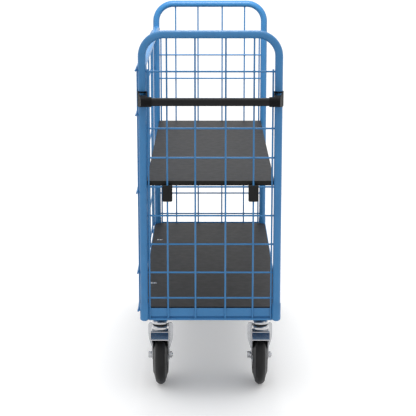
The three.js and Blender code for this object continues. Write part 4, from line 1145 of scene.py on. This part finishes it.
front_wires = end_mesh("front_wire_mesh")
rear_wires = turned_round(front_wires, "rear_wire_mesh")
on_frame(front_wires, "front_mesh")
on_frame(rear_wires, "rear_mesh")
on_frame(side_mesh(), "side_mesh")

on_frame(side_top_rail(), "side_top_rail")
on_frame(saddle_weld("front_rail_weld", 0, 1))
on_frame(saddle_weld("rear_rail_weld", HOOP_SPACING, -1))

front_end = end_rail()
rear_end = turned_round(front_end, "rear_end_rail")
front_end.name = "front_end_rail"
on_frame(front_end, "front_rail")
on_frame(rear_end, "rear_rail")

right_side = side_rail()
left_side = turned_round(right_side, "left_side_rail")
right_side.name = "right_side_rail"
on_frame(right_side, "right_rail")
on_frame(left_side, "left_rail")

for end, y in (("front", FRONT_CASTOR_Y), ("rear", REAR_CASTOR_Y)):
    on_frame(castor_beam(f"{end}_beam_channel", y), f"{end}_castor_beam")

socket = corner_socket()
for end, y in (("front", 0), ("rear", HOOP_SPACING)):
    for side, x in (("left", 0), ("right", 2 * POST_X)):
        cup = copied(socket, f"{end}_{side}_post_cup", (x, y, 0))
        on_frame(cup, f"{end}_{side}_socket")
bpy.data.objects.remove(socket)

dressed(bottom_deck(), DECK_FILM, "frame", "board", "bottom_deck")
for end, y in zip(("front", "rear"), FIXING_PLACES):
    fixing = deck_fixing(f"{end}_deck_plate", y)
    dressed(fixing, ZINC, "frame", "zinc_steel", f"{end}_deck_fixing")

dressed(shelf_board(), SHELF_FILM, "shelf", "board", "shelf_board")
dressed(shelf_band(), EDGE_BAND, "shelf", "black_plastic")

hook = shelf_hook()
for side, x in (("left", 0), ("right", 2 * HOOK_WIRE_X)):
    near = copied(hook, f"front_{side}_hook_plate", (x, 0, 0))
    far = turned_round(near, f"rear_{'right' if side == 'left' else 'left'}_hook_plate")
    dressed(near, BLACK_COAT, "shelf", "black_steel", f"front_{side}_shelf_hook")
    dressed(far, BLACK_COAT, "shelf", "black_steel", far.name.replace("_hook_plate", "_shelf_hook"))
bpy.data.objects.remove(hook)

dressed(handle_bar(), BLACK_COAT, "frame", "black_steel", "handle_bar")
bracket = handle_bracket()
bracket.name = "right_bracket_moulding"
other_bracket = mirrored(bracket, "left_bracket_moulding")
smooth(other_bracket, 60)
dressed(bracket, PLASTIC, "frame", "black_plastic", "right_handle_bracket")
dressed(other_bracket, PLASTIC, "frame", "black_plastic", "left_handle_bracket")


def wheel(corner, x, y, body, carrier):
    dressed(tyre(f"{corner}_tread", x, y), RUBBER, body, "tyre_rubber", f"{corner}_tyre")
    dressed(rim(f"{corner}_wheel_rim", x, y), RIM_STEEL, body, "zinc_steel", f"{corner}_rim")
    dressed(bush(f"{corner}_wheel_bush", x, y), NYLON, body, "bush_plastic", f"{corner}_bush")
    dressed(axle_bolt(f"{corner}_axle", x, y), ZINC, carrier, "zinc_steel", f"{corner}_axle_bolt")
    dressed(axle_nut(f"{corner}_nut", x, y), ZINC, carrier, "zinc_steel", f"{corner}_axle_nut")


for side, x in (("left", -CASTOR_X), ("right", CASTOR_X)):
    front_axle = FRONT_CASTOR_Y + CASTOR_TRAIL
    wheel(f"front_{side}", x, front_axle, f"front_{side}_wheel", f"{side}_swivel")
    wheel(f"rear_{side}", x, REAR_CASTOR_Y, f"rear_{side}_wheel", "frame")
    fork = swivel_fork(f"front_{side}_fork_pressing", x, FRONT_CASTOR_Y)
    dressed(fork, ZINC, f"{side}_swivel", "zinc_steel", f"front_{side}_fork")
    fork = fixed_fork(f"rear_{side}_fork_pressing", x, REAR_CASTOR_Y)
    dressed(fork, ZINC, "frame", "zinc_steel", f"rear_{side}_fork")
    # A dark ring that stands in for the shade in the gap between the cup and the head
    shade_ring = race_shade_ring(f"front_{side}_seal", x, FRONT_CASTOR_Y)
    dressed(shade_ring, NYLON, f"{side}_swivel", "black_plastic")
    head = swivel_head(f"front_{side}_race", x, FRONT_CASTOR_Y)
    dressed(head, ZINC, "frame", "zinc_steel", f"front_{side}_swivel_head")

for name in ("front_left_kingpin", "front_right_kingpin", "rear_left_crown_bolt", "rear_right_crown_bolt",
             "left_handle_bolt", "right_handle_bolt"):
    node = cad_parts[name]
    for slot in node.material_slots:
        slot.material = ZINC


# Floor and backdrop

FLOOR_SIZE = 80
FLOOR_LIGHT = (0.62, 0.62, 0.62, 1)
FLOOR_SEEN = (0.9, 0.9, 0.9, 1)
FLOOR_LIFT = 0.16
SKY_LEVEL = 0.88
SKY_TILT = (0, 0.26, 0.1)


def rays_that_see(owner):
    """1 for a ray that shows what stands behind: from the camera, off a gloss or through glass."""
    path = added(owner, "ShaderNodeLightPath")
    seen = path.outputs["Is Camera Ray"]
    for ray in ("Is Glossy Ray", "Is Transmission Ray"):
        either = added(owner, "ShaderNodeMath", "MAXIMUM")
        link(owner, seen, either.inputs[0])
        link(owner, path.outputs[ray], either.inputs[1])
        seen = either.outputs["Value"]
    return seen


def make_floor_white():
    """White paper that keeps the trolley's shadow and shows as plain white elsewhere."""
    finish, shader = new_finish("floor_white", 0.9)
    shader.inputs["Specular IOR Level"].default_value = 0.0
    seen = rays_that_see(finish)
    paint(finish, shader, seen, FLOOR_LIGHT, FLOOR_SEEN)
    lift = added(finish, "ShaderNodeMath", "MULTIPLY")
    lift.inputs[1].default_value = FLOOR_LIFT
    glow = added(finish, "ShaderNodeEmission")
    both = added(finish, "ShaderNodeAddShader")
    link(finish, seen, lift.inputs[0])
    link(finish, lift.outputs["Value"], glow.inputs["Strength"])
    link(finish, shader.outputs["BSDF"], both.inputs[0])
    link(finish, glow.outputs["Emission"], both.inputs[1])
    link(finish, both.outputs["Shader"], finish.node_tree.nodes["Material Output"].inputs["Surface"])
    return finish


clear_selection()
bpy.ops.mesh.primitive_plane_add(size=FLOOR_SIZE, location=(0, 10, -0.0005))
floor = bpy.context.object
floor.name = "floor"
floor.data.materials.append(make_floor_white())

world = bpy.data.worlds.new("studio")
bpy.context.scene.world = world
world.use_nodes = True
background = world.node_tree.nodes["Background"]
background.inputs["Color"].default_value = (1, 1, 1, 1)
way = added(world, "ShaderNodeTexCoord")
tilt = added(world, "ShaderNodeVectorMath", "DOT_PRODUCT")
tilt.inputs[1].default_value = SKY_TILT
sky = added(world, "ShaderNodeMath", "ADD")
sky.inputs[1].default_value = SKY_LEVEL
level = added(world, "ShaderNodeMapRange")
level.inputs["To Max"].default_value = 1.0
link(world, way.outputs["Generated"], tilt.inputs[0])
link(world, tilt.outputs["Value"], sky.inputs[0])
link(world, rays_that_see(world), level.inputs["Value"])
link(world, sky.outputs["Value"], level.inputs["To Min"])
link(world, level.outputs["Result"], background.inputs["Strength"])


# Lamps

def in_scene(name, data, place):
    thing = bpy.data.objects.new(name, data)
    bpy.context.collection.objects.link(thing)
    thing.location = place
    return thing


def soft_sun(name, toward, spread_angle, strength):
    """Even light from one side of the sky. toward is the way that it shines."""
    light = bpy.data.lights.new(name, "SUN")
    light.energy = strength
    light.angle = math.radians(spread_angle)
    lamp = in_scene(name, light, -3 * Vector(toward))
    lamp.rotation_euler = Vector(toward).to_track_quat("-Z", "Y").to_euler()


def soft_lamp(name, place, target, size, power):
    light = bpy.data.lights.new(name, "AREA")
    light.shape = "DISK"
    light.size = size
    light.energy = power
    lamp = in_scene(name, light, place)
    lamp.rotation_euler = (Vector(target) - Vector(place)).to_track_quat("-Z", "Y").to_euler()


soft_sun("sky_light", (0, 0.1, -1), 60, 0.5)
soft_lamp("middle_light", (0, 0.0, 2.1), (0, 0.75, 0.7), 0.8, 14)


# Camera

CAMERA_PLACE = (-0.0015, -4.7690, 1.6191)
CAMERA_DIP = 12.966
CAMERA_LENS = 117.9

camera = bpy.data.cameras.new("camera")
camera.lens = CAMERA_LENS
camera.sensor_width = 36
camera.clip_end = 100
eye = in_scene("camera", camera, CAMERA_PLACE)
eye.rotation_euler = (math.radians(90 - CAMERA_DIP), 0, 0.0006)
bpy.context.scene.camera = eye

bpy.context.scene.view_settings.view_transform = "Standard"
